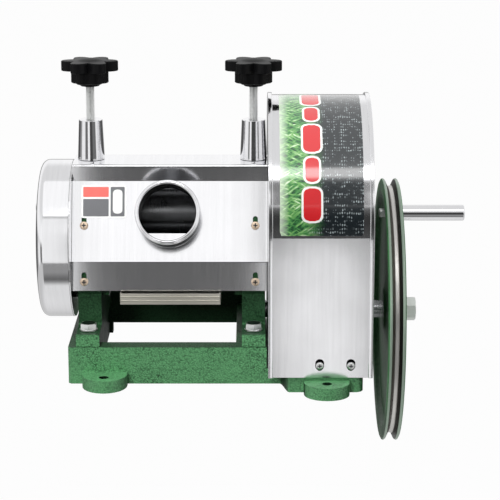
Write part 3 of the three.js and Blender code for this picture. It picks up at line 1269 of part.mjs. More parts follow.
// Handle: a spindle through the web and a sleeve that turns on it
const crank = new THREE.Group();
crank.position.z = CRANK_RADIUS;
drive.add(crank);
const webFace = WHEEL_WEB_START + WHEEL_WEB + SEAT_GAP;
const sleeveStart = webFace + SPINDLE_COLLAR_LENGTH + SEAT_GAP;
const headStart = SLEEVE_END - SPINDLE_HEAD_LENGTH - 0.5;
const sleeveBore = SPINDLE_RADIUS + RUNNING_GAP;
const headBore = SPINDLE_HEAD_RADIUS + RUNNING_GAP;
const spindle = turnedX(
  [
    [0, SPINDLE_START],
    [SPINDLE_RADIUS, SPINDLE_START],
    [SPINDLE_RADIUS, webFace],
    [SPINDLE_COLLAR_RADIUS, webFace],
    [SPINDLE_COLLAR_RADIUS, webFace + SPINDLE_COLLAR_LENGTH],
    [SPINDLE_RADIUS, webFace + SPINDLE_COLLAR_LENGTH],
    [SPINDLE_RADIUS, headStart],
    [SPINDLE_HEAD_RADIUS, headStart],
    [SPINDLE_HEAD_RADIUS, SLEEVE_END - 0.5],
    [0, SLEEVE_END - 0.5],
  ],
  SMALL,
);
const sleeve = turnedX(
  [
    [sleeveBore, sleeveStart],
    [SLEEVE_RADIUS, sleeveStart],
    [SLEEVE_RADIUS, SLEEVE_END - SLEEVE_CHAMFER],
    [SLEEVE_RADIUS - SLEEVE_CHAMFER, SLEEVE_END],
    [headBore, SLEEVE_END],
    [headBore, headStart - SEAT_GAP],
    [sleeveBore, headStart - SEAT_GAP],
    [sleeveBore, sleeveStart],
  ],
  ROUND,
);
add(crank, "handle_spindle", spindle, CHROME);
add(crank, "handle_sleeve", sleeve, CHROME);

export default juicer;
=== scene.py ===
"""Manual sugarcane juicer: the visible surfaces of the machine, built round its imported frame.

Every length in this file is in millimetres in the frame of the part, with +X towards the hand wheel,
-Y towards the person who feeds the cane and +Z up. Blender objects are in metres. A size that is named after
a round part, such as rim, bore or shank, is its radius.
"""
import json
import logging
import math
from collections.abc import Callable, Sequence
from dataclasses import dataclass
from enum import Enum
from typing import Protocol

import bmesh
import bpy
from mathutils import Matrix, Vector

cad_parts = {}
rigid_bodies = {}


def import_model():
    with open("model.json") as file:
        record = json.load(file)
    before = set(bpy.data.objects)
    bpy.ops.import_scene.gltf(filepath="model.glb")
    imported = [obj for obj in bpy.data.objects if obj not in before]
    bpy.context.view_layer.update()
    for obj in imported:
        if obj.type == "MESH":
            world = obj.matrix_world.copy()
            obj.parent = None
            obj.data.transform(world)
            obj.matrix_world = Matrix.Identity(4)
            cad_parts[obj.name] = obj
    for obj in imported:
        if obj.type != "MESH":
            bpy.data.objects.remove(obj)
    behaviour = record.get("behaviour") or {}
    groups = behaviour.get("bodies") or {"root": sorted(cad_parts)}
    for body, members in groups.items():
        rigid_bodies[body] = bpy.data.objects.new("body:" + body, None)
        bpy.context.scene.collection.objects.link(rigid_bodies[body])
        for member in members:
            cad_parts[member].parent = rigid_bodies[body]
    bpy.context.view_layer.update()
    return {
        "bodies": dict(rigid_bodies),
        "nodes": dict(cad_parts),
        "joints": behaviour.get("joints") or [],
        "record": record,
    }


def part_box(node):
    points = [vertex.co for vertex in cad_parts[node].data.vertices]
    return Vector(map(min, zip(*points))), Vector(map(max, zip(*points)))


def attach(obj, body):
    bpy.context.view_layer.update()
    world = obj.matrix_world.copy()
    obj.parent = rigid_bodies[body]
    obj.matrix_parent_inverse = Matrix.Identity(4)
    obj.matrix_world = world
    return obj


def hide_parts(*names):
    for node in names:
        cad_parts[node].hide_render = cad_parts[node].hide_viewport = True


LOG = logging.getLogger("juicer")
MM = 0.001
QUARTER = math.pi / 2
HALF = math.pi
TURN = 2 * math.pi

Pair = tuple[float, float]
Point = tuple[float, float, float]
Colour = tuple[float, float, float, float]
Stop = tuple[float, Colour]
Shape = bmesh.types.BMesh
Tree = bpy.types.NodeTree
Node = bpy.types.Node
Socket = bpy.types.NodeSocket
Material = bpy.types.Material
Feed = Node | Socket | float | Point | Colour

TOP_AXIS = 172.0
ROLLER_CENTRES = 56.0
LOW_REACH = 33.0
LOW_AXIS = TOP_AXIS - math.sqrt(ROLLER_CENTRES ** 2 - LOW_REACH ** 2)
SHAFT_AXIS = 58.0
HANDLE_THROW = 114.0
CHEEKS = {"left": -184.0, "right": 0.0}


class Grain(Enum):
    """How far a noise is drawn out along x, y and z, so that it runs in the lines that a tool has left.

    AROUND_X serves what was turned about x, and also flat sheet that was brushed up and down.
    """

    NONE = (1.0, 1.0, 1.0)
    AROUND_X = (1.0, 0.03, 0.03)
    AROUND_Z = (0.03, 0.03, 1.0)
    ALONG_X = (0.03, 1.0, 1.0)


@dataclass(frozen=True)
class Metal:
    """A bare or plated metal finish."""

    name: str
    colour: str  # sRGB hex of the metal at normal incidence
    roughness: float
    grain: Grain  # direction of the tool or brush lines
    pitch: float  # spacing of the lines in millimetres
    streak: float  # how far the roughness swings along the lines
    relief: float  # depth of the lines in millimetres
    slot: str  # material slot of the record


@dataclass(frozen=True)
class PaintedShade:
    """Painted shade on the castings' enamel: its tops, all that lies under the cover and the faces inside
    the base are painted darker, where shadow falls.
    """

    colour: str = "#0A1E10"  # sRGB hex of the painted shade
    share: float = 0.85  # how far the paint goes to that colour
    gloss: float = 0.05  # how strongly a surface in full painted shade mirrors
    tops: Pair = (26.0, 32.0)  # heights between which upward faces begin to get painted shade
    cheeks: Pair = (54.0, 60.0)  # heights between which everything under the cover gets painted shade
    cheek_shade_share: float = 0.95  # how strong the painted shade is there
    middle: float = -92.0  # x of the middle of the base's window


@dataclass(frozen=True)
class Coat:
    """A paint or moulded plastic finish."""

    name: str
    colour: str
    shade: str  # sRGB hex in the hollows of its texture
    roughness: float
    cell: float  # size of the texture's cells in millimetres
    relief: float  # height of the texture in millimetres
    clear: float  # weight of the clear gloss over the colour
    gloss: float  # how strongly its bare surface mirrors
    slot: str  # material slot of the record
    painted_shade: PaintedShade | None = None  # painted shade on it, if any


@dataclass(frozen=True)
class Ink:
    """Ink printed on film or card: an even colour with a little orange peel."""

    name: str
    colour: str
    roughness: float
    varnished: bool = False  # whether the film's clear varnish lies over it
    slot: str | None = None  # material slot of the record; the record has none for ink


@dataclass(frozen=True)
class LeafPrint:
    """The barrel's printed film: leaf blades on green that turn to dark slate with rows of pale dots."""

    name: str = "barrel_print"
    radius: float = 135.0  # radius that the pattern is laid out on, about the barrel's axis
    roughness: float = 0.26  # roughness under the varnish
    # thresholds and sRGB hex colours, from the shadow between the blades to their tips
    leaf: tuple[tuple[float, str], ...] = ((0.42, "#1F4A2B"), (0.52, "#3F8044"), (0.64, "#79AE63"),
                                           (0.76, "#E3EFD8"))
    haze: str = "#E9F1E2"  # sRGB hex of the pale haze at the film's left edge
    slate: str = "#10181C"  # sRGB hex of the dark field
    dot: str = "#B9C4C6"  # sRGB hex of its dots
    haze_ends: Pair = (28.0, 38.0)  # x between which the haze fades out
    slate_ends: Pair = (72.0, 92.0)  # x between which green turns to slate
    blades: float = 2.381  # breadth of a blade in millimetres
    slim: float = 0.2  # how far they are drawn out
    sway: Pair = (38.46, 0.012)  # size in millimetres and strength of what bends them
    lean: Pair = (24.0, -30.0)  # how far the two layers of blades lean, in degrees
    seeds: Pair = (0.3, 0.7)  # what sets the layers apart
    haze_share: float = 0.6  # how thick the haze is at its thickest
    dot_share: float = 0.6  # how strongly the dots show
    dot_edge: Pair = (0.2, 0.36)  # distances from a dot's middle between which it fades
    scatter: float = 0.25  # how far the dots stray from their rows
    patches: float = 6.667  # size in millimetres of the patches that the dots come in
    patch_edge: Pair = (0.48, 0.66)  # values of that noise between which they come in
    ragged: float = 30.0  # how far the blades reach into the slate, in millimetres
    dots: Pair = (2.5, 4.167)  # spacing of the dots in millimetres, across and along
    slot: str | None = None  # material slot of the record; the record has none for the film


Finish = Metal | Coat | Ink | LeafPrint

# Hammered alkyd enamel, sprayed over sand castings: a cell of pale and dark green every 1.6 mm, with painted
# shade on the castings' tops, under the cover and inside the base
ENAMEL = Coat("hammered_enamel", "#61A06C", "#163820", 0.4, 1.6, 0.8, 0.04, 0.5, "hammered_green", PaintedShade())
# the same enamel on the turned wheel, flowed out smooth, with a broad faint mottle
WHEEL_ENAMEL = Coat("wheel_enamel", "#52895A", "#3A6F44", 0.42, 4.0, 0.03, 0.0, 0.3, "hammered_green")
# painted shade in the bolt holes: a thin dark liner on their walls, dark and dull
HOLE_SHADE = Coat("hole_shade", "#0F2115", "#08120B", 0.6, 2.0, 0.02, 0.0, 0.1, "cast_iron")
# phenolic knobs, pressed in a hot mould: black, with a soft sheen
PHENOLIC = Coat("phenolic", "#0B0B0C", "#060607", 0.42, 0.7, 0.012, 0.0, 0.12, "black_plastic")
# painted shadow in the slots behind the case's screws: black and quite matt
SLOT_SHADOW = Coat("case_slot_shadow", "#070708", "#040405", 0.7, 0.7, 0.01, 0.0, 0.05, "black_plastic")

# Brush and tool lines on real metal are finer than a pixel, so all of those below are drawn coarse, to show
# 304 stainless sheet, belt brushed up and down and then buffed bright
BRIGHT_SHEET = Metal("bright_sheet", "#F3F3F5", 0.13, Grain.AROUND_X, 1.1, 0.02, 0.001, "mirror_stainless")
# the same sheet, rolled to a cup and a barrel, so its lines run round them
ROLLED_SHEET = Metal("rolled_sheet", "#F1F1F3", 0.1, Grain.AROUND_X, 0.9, 0.02, 0.001, "mirror_stainless")
# stainless sheet in its mill finish: bright, with a soft edge to what it mirrors
SATIN_SHEET = Metal("satin_sheet", "#F0F0F2", 0.2, Grain.AROUND_X, 0.8, 0.03, 0.001, "satin_stainless")
# the tray's stainless sheet, milky with dried juice
TRAY_SHEET = Metal("tray_sheet", "#E6E2D6", 0.42, Grain.ALONG_X, 0.8, 0.05, 0.003, "satin_stainless")
# the stainless tube's wall, darkened to near black as painted shade inside the tube and under its mouth
TUBE_SHADE_STEEL = Metal("tube_shade_steel", "#323336", 0.34, Grain.AROUND_Z, 0.9, 0.08, 0.006, "satin_stainless")
# painted shade at the bottom of the screws' recesses: dark, with a dull sheen
RECESS_SHADE = Metal("recess_shade", "#55565A", 0.34, Grain.NONE, 0.8, 0.08, 0.004, "zinc_plate")
# top faces of the zinc plated foot bolts, darkened as painted shade
BOLT_TOP_SHADE = Metal("bolt_top_shade", "#5B5D5E", 0.4, Grain.NONE, 1.2, 0.06, 0.004, "zinc_plate")
# stainless bar turned in a lathe with a fine feed, so its lines run round it
TURNED_STEEL = Metal("turned_steel", "#B9BABC", 0.26, Grain.AROUND_X, 0.5, 0.1, 0.006, "satin_stainless")
# cast stainless rollers, turned, with a dull sheen; their steel is darkened as painted shade, for they lie
# in shadow under the cover
SHADED_ROLLER_STEEL = Metal("shaded_roller_steel", "#8A8B8D", 0.34, Grain.AROUND_X, 0.9, 0.1, 0.01, "satin_stainless")
# bright chrome plate on ground steel: a clean mirror
CHROME = Metal("chrome", "#F0F0F2", 0.06, Grain.NONE, 1.0, 0.02, 0.0, "chrome_plate")
# zinc plate on rolled and headed fasteners: pale, with a soft sheen
ZINC = Metal("zinc", "#ECEDEC", 0.36, Grain.NONE, 1.2, 0.06, 0.004, "zinc_plate")
# zinc plate on the wheel's nut, tumbled, so it is matt and pale
MATT_ZINC = Metal("matt_zinc", "#FDFEFD", 0.65, Grain.NONE, 1.2, 0.05, 0.004, "zinc_plate")
# yellow passivated zinc on the cover's screws: brassy in the light
BRASS = Metal("brass_plate", "#FFE6CC", 0.3, Grain.NONE, 0.8, 0.08, 0.004, "brass")
# sintered bronze bushes, reamed: warm, with fine rings
BRONZE = Metal("bronze", "#B08A52", 0.34, Grain.AROUND_X, 0.5, 0.1, 0.01, "bronze")
# cast iron gears, guides and bearing blocks, oiled and greased: dark and uneven
GREASED_IRON = Metal("greased_iron", "#5E6062", 0.36, Grain.NONE, 3.0, 0.12, 0.03, "cast_iron")
# crests of the cast rim, turned, where the paint has worn thin and greyish
RIM_CREST = Metal("rim_crest", "#9DAF9F", 0.34, Grain.AROUND_X, 0.45, 0.12, 0.012, "hammered_green")
# root of the rim's groove, turned in a lathe after painting: bare and pale
RIM_ROOT = Metal("rim_root", "#D8D6D2", 0.4, Grain.AROUND_X, 0.45, 0.12, 0.012, "hammered_green")
# left wall of the groove, turned, with painted light: a lit copy of the right wall's steel
RIM_LIT_WALL = Metal("rim_lit_wall", "#7A766E", 0.42, Grain.AROUND_X, 0.45, 0.12, 0.012, "hammered_green")
# right wall of the groove, turned, with painted shade: a shaded copy of the left wall's steel
RIM_SHADED_WALL = Metal("rim_shaded_wall", "#2E2F2A", 0.42, Grain.AROUND_X, 0.45, 0.12, 0.012,
                       "hammered_green")
# polyester film on the barrel, screen printed and varnished
LEAF_PRINT = LeafPrint()
PRINT_RED = Ink("print_red", "#C91F25", 0.26, True)
PRINT_WHITE = Ink("print_white", "#F4F4F2", 0.26, True)
# polyester card on the cover, screen printed and left dull
PLATE_WHITE = Ink("plate_white", "#F1F1F0", 0.35)
PLATE_GREY = Ink("plate_grey", "#6F7073", 0.35)
PLATE_CORAL = Ink("plate_coral", "#E8736B", 0.35)


def linear(code: str, share: float = 1.0) -> Colour:
    """Turns an sRGB hex code into a linear colour with alpha.

    Args:
        code: colour as "#RRGGBB".
        share: share of its light that is left.

    Returns:
        Four floats, the last one 1.
    """
    values = [int(code[i:i + 2], 16) / 255 for i in (1, 3, 5)]
    return (*[(v / 12.92 if v <= 0.04045 else ((v + 0.055) / 1.055) ** 2.4) * share for v in values], 1.0)


def grey(level: float) -> Colour:
    """A linear grey with alpha."""
    return level, level, level, 1.0


def cells(size: float) -> float:
    """Scale of a pattern whose cells or lines are so many millimetres across."""
    return 1 / (size * MM)


def fill(tree: Tree, made: Node, inputs: dict[str | int, Feed]) -> None:
    """Fills the inputs of a node.

    Args:
        tree: node tree of the node.
        made: the node.
        inputs: input name or number to a value, an output socket, or a node whose first output is meant.
    """
    for key, value in inputs.items():
        if isinstance(value, Node):
            value = value.outputs[0]
        if isinstance(value, Socket):
            tree.links.new(value, made.inputs[key])
        else:
            made.inputs[key].default_value = value


def node(tree: Tree, kind: str, inputs: dict[str | int, Feed] | None = None, **settings: object) -> Node:
    """Adds a shader node, sets its properties and fills its inputs.

    Args:
        tree: node tree that gets the node.
        kind: Blender's identifier of the node, without its leading "ShaderNode".
        inputs: what its inputs get, as for fill.
        settings: properties set on the node itself.

    Returns:
        The new node.
    """
    made = tree.nodes.new("ShaderNode" + kind)
    for key, value in settings.items():
        setattr(made, key, value)
    fill(tree, made, inputs or {})
    return made


def blank(name: str) -> Material:
    """A new material with nodes; its own Principled shader is still there."""
    material = bpy.data.materials.new(name)
    material.use_nodes = True
    return material


def set_stops(ramp: Node, marks: Sequence[Stop]) -> Node:
    """Sets the colour stops of a ramp.

    Args:
        ramp: the ramp's node, still with its two first stops.
        marks: positions from 0 to 1 in rising order, and colours.

    Returns:
        The same node.
    """
    stops = ramp.color_ramp.elements
    for (position, colour), stop in zip((marks[0], marks[-1]), list(stops)):
        stop.position, stop.color = position, colour
    for position, colour in marks[1:-1]:
        stops.new(position).color = colour
    return ramp


class Paintbox:
    """Makes each finish's material once and hands it out again."""

    CLOUD = 35.71  # size of the clouds on a metal
    BROAD = 0.22  # scale of a metal's broad lines, as a share of that of the fine ones
    LINE_SHINE = (0.14, 0.36)  # product of fine and broad lines, from dull to bright
    LINE_SWING = (0.6, 1.4)  # sum of lines and clouds, from smooth to rough
    LEAST_ROUGH = 0.03  # no metal is smoother than this
    DULL = 0.95  # light left in a metal's dull lines
    DRIFT = (6.25, 0.004)  # size and strength of the bend in a coat's cells
    MOTTLE = 41.67  # size of the broad mottle of a coat
    CELL_EDGE = (0.15, 0.75)  # distances in a cell between which the shade comes in
    SHADE = 1.5  # how far the shade can go
    GLOSS_SWING = (0.08, 0.1)  # how far the mottle takes a coat's roughness down and up
    LOOKS_UP = (0.55, 0.95)  # height of the normal at which a face begins to be, and is, a top
    # how far a face looks to the window's middle when it begins to be, and is, inside
    LOOKS_IN = (-0.3, -0.6)
    INSIDE_SHADE = 1.1  # how strong the painted shade is inside the base
    PEEL = 1.43  # size of the peel of a printed layer
    INK_CLOUD = 16.67  # size of its clouds
    THIN_INK = 0.86  # light left where the ink lies thick

    def __init__(self) -> None:
        """Starts with no material made."""
        self._made: dict[str, Material] = {}

    def of(self, finish: Finish) -> Material:
        """Returns the material of a finish.

        Args:
            finish: a metal, a coat, an ink or the barrel's print.

        Returns:
            The Blender material.
        """
        makers = {Metal: self._metal, Coat: self._coat, Ink: self._ink, LeafPrint: self._leaf_print}
        if finish.name not in self._made:
            material = blank(finish.name)
            tree = material.node_tree
            makers[type(finish)](finish, tree, tree.nodes["Principled BSDF"])
            self._made[finish.name] = material
        return self._made[finish.name]

    def _metal(self, finish: Metal, tree: Tree, shader: Node) -> None:
        """Fine lines and faint clouds, which swing the roughness and the brightness of a metal.

        Args:
            finish: the metal.
            tree: its node tree.
            shader: its Principled shader.
        """
        place = node(tree, "TexCoord").outputs["Object"]
        drawn = node(tree, "VectorMath", {0: place, 1: finish.grain.value}, operation="MULTIPLY")
        fine = cells(finish.pitch)
        lines = node(tree, "TexNoise", {"Vector": drawn, "Scale": fine, "Detail": 3.0, "Roughness": 0.6})
        broad = node(tree, "TexNoise", {"Vector": drawn, "Scale": self.BROAD * fine, "Detail": 2.0,
                                         "Roughness": 0.5})
        cloud = node(tree, "TexNoise", {"Vector": place, "Scale": cells(self.CLOUD), "Detail": 2.0})
        both = node(tree, "Math", {0: lines, 1: cloud}, operation="ADD")
        worn = node(tree, "Math", {0: lines, 1: broad}, operation="MULTIPLY")
        dull, bright = self.LINE_SHINE
        shine = node(tree, "MapRange", {"Value": worn, "From Min": dull, "From Max": bright})
        least, most = self.LINE_SWING
        rough = node(tree, "MapRange", {"Value": both, "From Min": least, "From Max": most,
                                        "To Min": max(self.LEAST_ROUGH, finish.roughness - finish.streak),
                                        "To Max": finish.roughness + finish.streak})
        tint = node(tree, "Mix", {"Factor": shine, "A": linear(finish.colour, self.DULL),
                                  "B": linear(finish.colour)}, data_type="RGBA")
        fill(tree, shader, {"Base Color": tint.outputs["Result"], "Roughness": rough, "Metallic": 1.0})
        if finish.relief:
            bump = node(tree, "Bump", {"Height": lines, "Strength": 0.5, "Distance": finish.relief * MM})
            fill(tree, shader, {"Normal": bump})

    def _coat(self, finish: Coat, tree: Tree, shader: Node) -> None:
        """Domed cells with darker seams, under a broad mottle.

        Args:
            finish: the paint or plastic.
            tree: its node tree.
            shader: its Principled shader.
        """
        place = node(tree, "TexCoord").outputs["Object"]
        size, strength = self.DRIFT
        drift = node(tree, "TexNoise", {"Vector": place, "Scale": cells(size), "Detail": 2.0})
        bent = node(tree, "Mix", {"Factor": strength, "A": place, "B": drift.outputs["Color"]},
                    data_type="VECTOR")
        domes = node(tree, "TexVoronoi", {"Vector": bent.outputs["Result"], "Scale": cells(finish.cell)},
                     feature="SMOOTH_F1")
        mottle = node(tree, "TexNoise", {"Vector": place, "Scale": cells(self.MOTTLE), "Detail": 3.0})
        near, far = self.CELL_EDGE
        seam = node(tree, "MapRange", {"Value": domes, "From Min": near, "From Max": far,
                                       "To Max": self.SHADE})
        share = node(tree, "Math", {0: seam, 1: mottle}, operation="MULTIPLY")
        tint = node(tree, "Mix", {"Factor": share, "A": linear(finish.colour), "B": linear(finish.shade)},
                    data_type="RGBA")
        down, up = self.GLOSS_SWING
        rough = node(tree, "MapRange", {"Value": mottle, "To Min": finish.roughness - down,
                                        "To Max": finish.roughness + up})
        bump = node(tree, "Bump", {"Height": domes, "Strength": 0.6, "Distance": finish.relief * MM},
                    invert=True)
        colour, gloss = tint.outputs["Result"], finish.gloss
        if finish.painted_shade:
            colour, gloss = self._paint_shade(tree, place, colour, finish)
        fill(tree, shader, {"Base Color": colour, "Specular IOR Level": gloss, "Roughness": rough,
                            "Normal": bump, "Coat Weight": finish.clear, "Coat Roughness": 0.2})

    def _paint_shade(self, tree: Tree, place: Socket, colour: Socket, finish: Coat) -> tuple[Socket, Node]:
        """Paints shade on the coat where shadow falls: its tops, the cheeks under the cover and the inside
        of the base.

        Args:
            tree: node tree.
            place: object coordinates.
            colour: colour of the clean coat.
            finish: the coat.

        Returns:
            The colour output, and the node that says how strongly the surface mirrors.
        """
        shade_spec = finish.painted_shade
        normal = node(tree, "NewGeometry").outputs["True Normal"]
        looks = node(tree, "SeparateXYZ", {0: normal}).outputs["Z"]
        height = node(tree, "SeparateXYZ", {0: place}).outputs["Z"]
        least, full = self.LOOKS_UP
        up = node(tree, "MapRange", {"Value": looks, "From Min": least, "From Max": full})
        least, full = shade_spec.tops
        high = node(tree, "MapRange", {"Value": height, "From Min": least * MM, "From Max": full * MM})
        tops = node(tree, "Math", {0: up, 1: high}, operation="MULTIPLY")
        least, full = shade_spec.cheeks
        under = node(tree, "MapRange", {"Value": height, "From Min": least * MM, "From Max": full * MM,
                                        "To Max": shade_spec.cheek_shade_share})
        away = node(tree, "VectorMath", {0: place, 1: (shade_spec.middle * MM, 0.0, 0.0)}, operation="SUBTRACT")
        flat = node(tree, "VectorMath", {0: away, 1: (1.0, 1.0, 0.0)}, operation="MULTIPLY")
        ray = node(tree, "VectorMath", {0: flat}, operation="NORMALIZE")
        turned = node(tree, "VectorMath", {0: ray, 1: normal}, operation="DOT_PRODUCT").outputs["Value"]
        least, full = self.LOOKS_IN
        inside = node(tree, "MapRange", {"Value": turned, "From Min": least, "From Max": full,
                                         "To Max": self.INSIDE_SHADE})
        outer = node(tree, "Math", {0: tops, 1: under}, operation="MAXIMUM")
        most = node(tree, "Math", {0: outer, 1: inside}, operation="MAXIMUM")
        share = node(tree, "Math", {0: most, 1: shade_spec.share}, operation="MULTIPLY")
        # painted shade: the coat goes towards the dark shade colour by the mask
        shaded = node(tree, "Mix", {"Factor": share, "A": colour, "B": linear(shade_spec.colour)},
                      data_type="RGBA")
        gloss = node(tree, "MapRange", {"Value": share, "To Min": finish.gloss, "To Max": shade_spec.gloss})
        return shaded.outputs["Result"], gloss

    def _ink(self, finish: Ink, tree: Tree, shader: Node) -> None:
        """An even colour, a little cloudy, with the peel of a printed layer.

        Args:
            finish: the ink.
            tree: its node tree.
            shader: its Principled shader.
        """
        place = node(tree, "TexCoord").outputs["Object"]
        peel = node(tree, "TexNoise", {"Vector": place, "Scale": cells(self.PEEL), "Detail": 1.0})
        cloud = node(tree, "TexNoise", {"Vector": place, "Scale": cells(self.INK_CLOUD), "Detail": 2.0})
        tint = node(tree, "Mix", {"Factor": cloud, "A": linear(finish.colour, self.THIN_INK),
                                  "B": linear(finish.colour)}, data_type="RGBA")
        bump = node(tree, "Bump", {"Height": peel, "Strength": 0.2, "Distance": 0.02 * MM})
        fill(tree, shader, {"Base Color": tint.outputs["Result"], "Normal": bump,
                            "Roughness": finish.roughness})
        if finish.varnished:
            self._varnish(tree, shader)

    def _leaf_print(self, finish: LeafPrint, tree: Tree, shader: Node) -> None:
        """Two layers of leaf blades, a pale haze on their left and a dark field of dots on their right.

        Args:
            finish: the print.
            tree: its node tree.
            shader: its Principled shader.
        """
        place = node(tree, "TexCoord").outputs["Object"]
        split = node(tree, "SeparateXYZ", {0: place})
        across = split.outputs["X"]
        rise = node(tree, "Math", {0: split.outputs["Z"], 1: TOP_AXIS * MM}, operation="SUBTRACT")
        ahead = node(tree, "Math", {0: split.outputs["Y"], 1: -1.0}, operation="MULTIPLY")
        angle = node(tree, "Math", {0: rise, 1: ahead}, operation="ARCTAN2")
        along = node(tree, "Math", {0: angle, 1: finish.radius * MM}, operation="MULTIPLY")
        flat = node(tree, "CombineXYZ", {"X": across, "Y": along})
        size, strength = finish.sway
        sway = node(tree, "TexNoise", {"Vector": flat, "Scale": cells(size), "Detail": 2.0})
        layers = []
        for lean, seed in zip(finish.lean, finish.seeds):
            turned = node(tree, "VectorRotate", {"Vector": flat, "Angle": math.radians(lean)},
                          rotation_type="Z_AXIS")
            bent = node(tree, "Mix", {"Factor": strength, "A": turned, "B": sway.outputs["Color"]},
                        data_type="VECTOR").outputs["Result"]
            thin = node(tree, "VectorMath", {0: bent, 1: (finish.slim, 1.0, seed)}, operation="MULTIPLY")
            moved = node(tree, "VectorMath", {0: thin, 1: (seed, 0.0, seed)}, operation="ADD")
            layers.append(node(tree, "TexNoise", {"Vector": moved, "Scale": cells(finish.blades),
                                                  "Detail": 2.0, "Roughness": 0.5}))
        leaf = node(tree, "Math", dict(enumerate(layers)), operation="MAXIMUM")
        ramp = set_stops(node(tree, "ValToRGB", {"Fac": leaf}),
                         [(level, linear(colour)) for level, colour in finish.leaf])
        start, end = finish.haze_ends
        fade = node(tree, "MapRange", {"Value": across, "From Min": start * MM, "From Max": end * MM,
                                       "To Min": finish.haze_share, "To Max": 0.0})
        green = node(tree, "Mix", {"Factor": fade, "A": ramp, "B": linear(finish.haze)}, data_type="RGBA")
        spread = (*map(cells, finish.dots), 1.0)
        grid = node(tree, "VectorMath", {0: flat, 1: spread}, operation="MULTIPLY")
        dots = node(tree, "TexVoronoi", {"Vector": grid, "Scale": 1.0, "Randomness": finish.scatter},
                    feature="F1", voronoi_dimensions="2D")
        start, end = finish.dot_edge
        speck = node(tree, "MapRange", {"Value": dots, "From Min": start, "From Max": end,
                                        "To Min": finish.dot_share, "To Max": 0.0})
        patch = node(tree, "TexNoise", {"Vector": flat, "Scale": cells(finish.patches), "Detail": 1.0})
        start, end = finish.patch_edge
        gate = node(tree, "MapRange", {"Value": patch, "From Min": start, "From Max": end})
        gated = node(tree, "Math", {0: speck, 1: gate}, operation="MULTIPLY")
        slate = node(tree, "Mix", {"Factor": gated, "A": linear(finish.slate), "B": linear(finish.dot)},
                     data_type="RGBA")
        ragged = node(tree, "Math", {0: leaf, 1: finish.ragged * MM}, operation="MULTIPLY")
        edge = node(tree, "Math", {0: across, 1: ragged}, operation="ADD")
        start, end = finish.slate_ends
        side = node(tree, "MapRange", {"Value": edge, "From Min": start * MM, "From Max": end * MM})
        field = node(tree, "Mix", {"Factor": side, "A": green.outputs["Result"],
                                   "B": slate.outputs["Result"]}, data_type="RGBA")
        bump = node(tree, "Bump", {"Height": sway, "Strength": 0.15, "Distance": 0.05 * MM})
        fill(tree, shader, {"Base Color": field.outputs["Result"], "Normal": bump,
                            "Roughness": finish.roughness})
        self._varnish(tree, shader)

    @staticmethod
    def _varnish(tree: Tree, shader: Node) -> None:
        """Clear varnish over a print, which throws a lamp back as a sharp pale band."""
        fill(tree, shader, {"Coat Weight": 1.0, "Coat IOR": 1.8, "Coat Roughness": 0.07})


def along_x(y: float, z: float) -> Matrix:
    """Frame whose third axis runs along +X, through y, z."""
    return Matrix.Translation((0, y, z)) @ Matrix(((0, 0, 1, 0), (1, 0, 0, 0), (0, 1, 0, 0), (0, 0, 0, 1)))


def along_z(x: float, y: float) -> Matrix:
    """Frame whose third axis runs along +Z, through x, y."""
    return Matrix.Translation((x, y, 0.0))


def outward(x: float, y: float, z: float, rise: float) -> Matrix:
    """Frame at a point whose third axis points towards -Y, raised by an angle in radians."""
    return Matrix.Translation((x, y, z)) @ Matrix.Rotation(QUARTER - rise, 4, "X")


def reach_x(name: str) -> Pair:
    """Lowest and highest x of a CAD node."""
    low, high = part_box(name)
    return low.x / MM, high.x / MM


def rounded(points: Sequence[Pair], radius: float, steps: int = 5, closed: bool = False) -> list[Pair]:
    """Rounds the corners of a line.

    Args:
        points: the corners.
        radius: fillet radius, the same at every corner.
        steps: segments in each fillet.
        closed: whether the line closes on itself.

    Returns:
        The rounded line.
    """
    straight = QUARTER - 0.03
    longest = 0.45
    line = [Vector(p) for p in points]
    count = len(line)
    made = []
    for i, corner in enumerate(line):
        if not closed and i in (0, count - 1):
            made.append(tuple(corner))
            continue
        back, ahead = line[i - 1] - corner, line[(i + 1) % count] - corner
        half = back.angle(ahead) / 2
        if half > straight:
            made.append(tuple(corner))
            continue
        reach = min(radius / math.tan(half), longest * back.length, longest * ahead.length)
        start, end = corner + back.normalized() * reach, corner + ahead.normalized() * reach
        for k in range(steps + 1):
            t = k / steps
            made.append(tuple(start * (1 - t) ** 2 + corner * 2 * t * (1 - t) + end * t ** 2))
    return made


def offset_line(points: Sequence[Pair], distance: float) -> list[Pair]:
    """Moves an open line sideways.

    Args:
        points: the line.
        distance: how far it moves to the right of the way it runs.

    Returns:
        The moved line.
    """
    line = [Vector(p) for p in points]
    normals = [Vector((b.y - a.y, a.x - b.x)).normalized() for a, b in zip(line, line[1:])]
    made = []
    for i, point in enumerate(line):
        before, after = normals[max(i - 1, 0)], normals[min(i, len(normals) - 1)]
        made.append(tuple(point + (before + after) * (distance / (1 + before.dot(after)))))
    return made


def arc(a: float, b: float, radius: float, start: float, end: float, steps: int) -> list[Pair]:
    """Points of an arc round a, b, between two angles in radians."""
    angles = [start + (end - start) * k / steps for k in range(steps + 1)]
    return [(a + radius * math.cos(t), b + radius * math.sin(t)) for t in angles]


def ring(radius: float | Callable[[float], float], height: float, steps: int) -> list[Point]:
    """A level ring of points.

    Args:
        radius: its radius, or a function that gives the radius at an angle.
        height: where it lies along the third axis.
        steps: number of its points.

    Returns:
        The points.
    """
    angles = [TURN * k / steps for k in range(steps)]
    reach = radius if callable(radius) else lambda angle: radius
    return [(reach(t) * math.cos(t), reach(t) * math.sin(t), height) for t in angles]


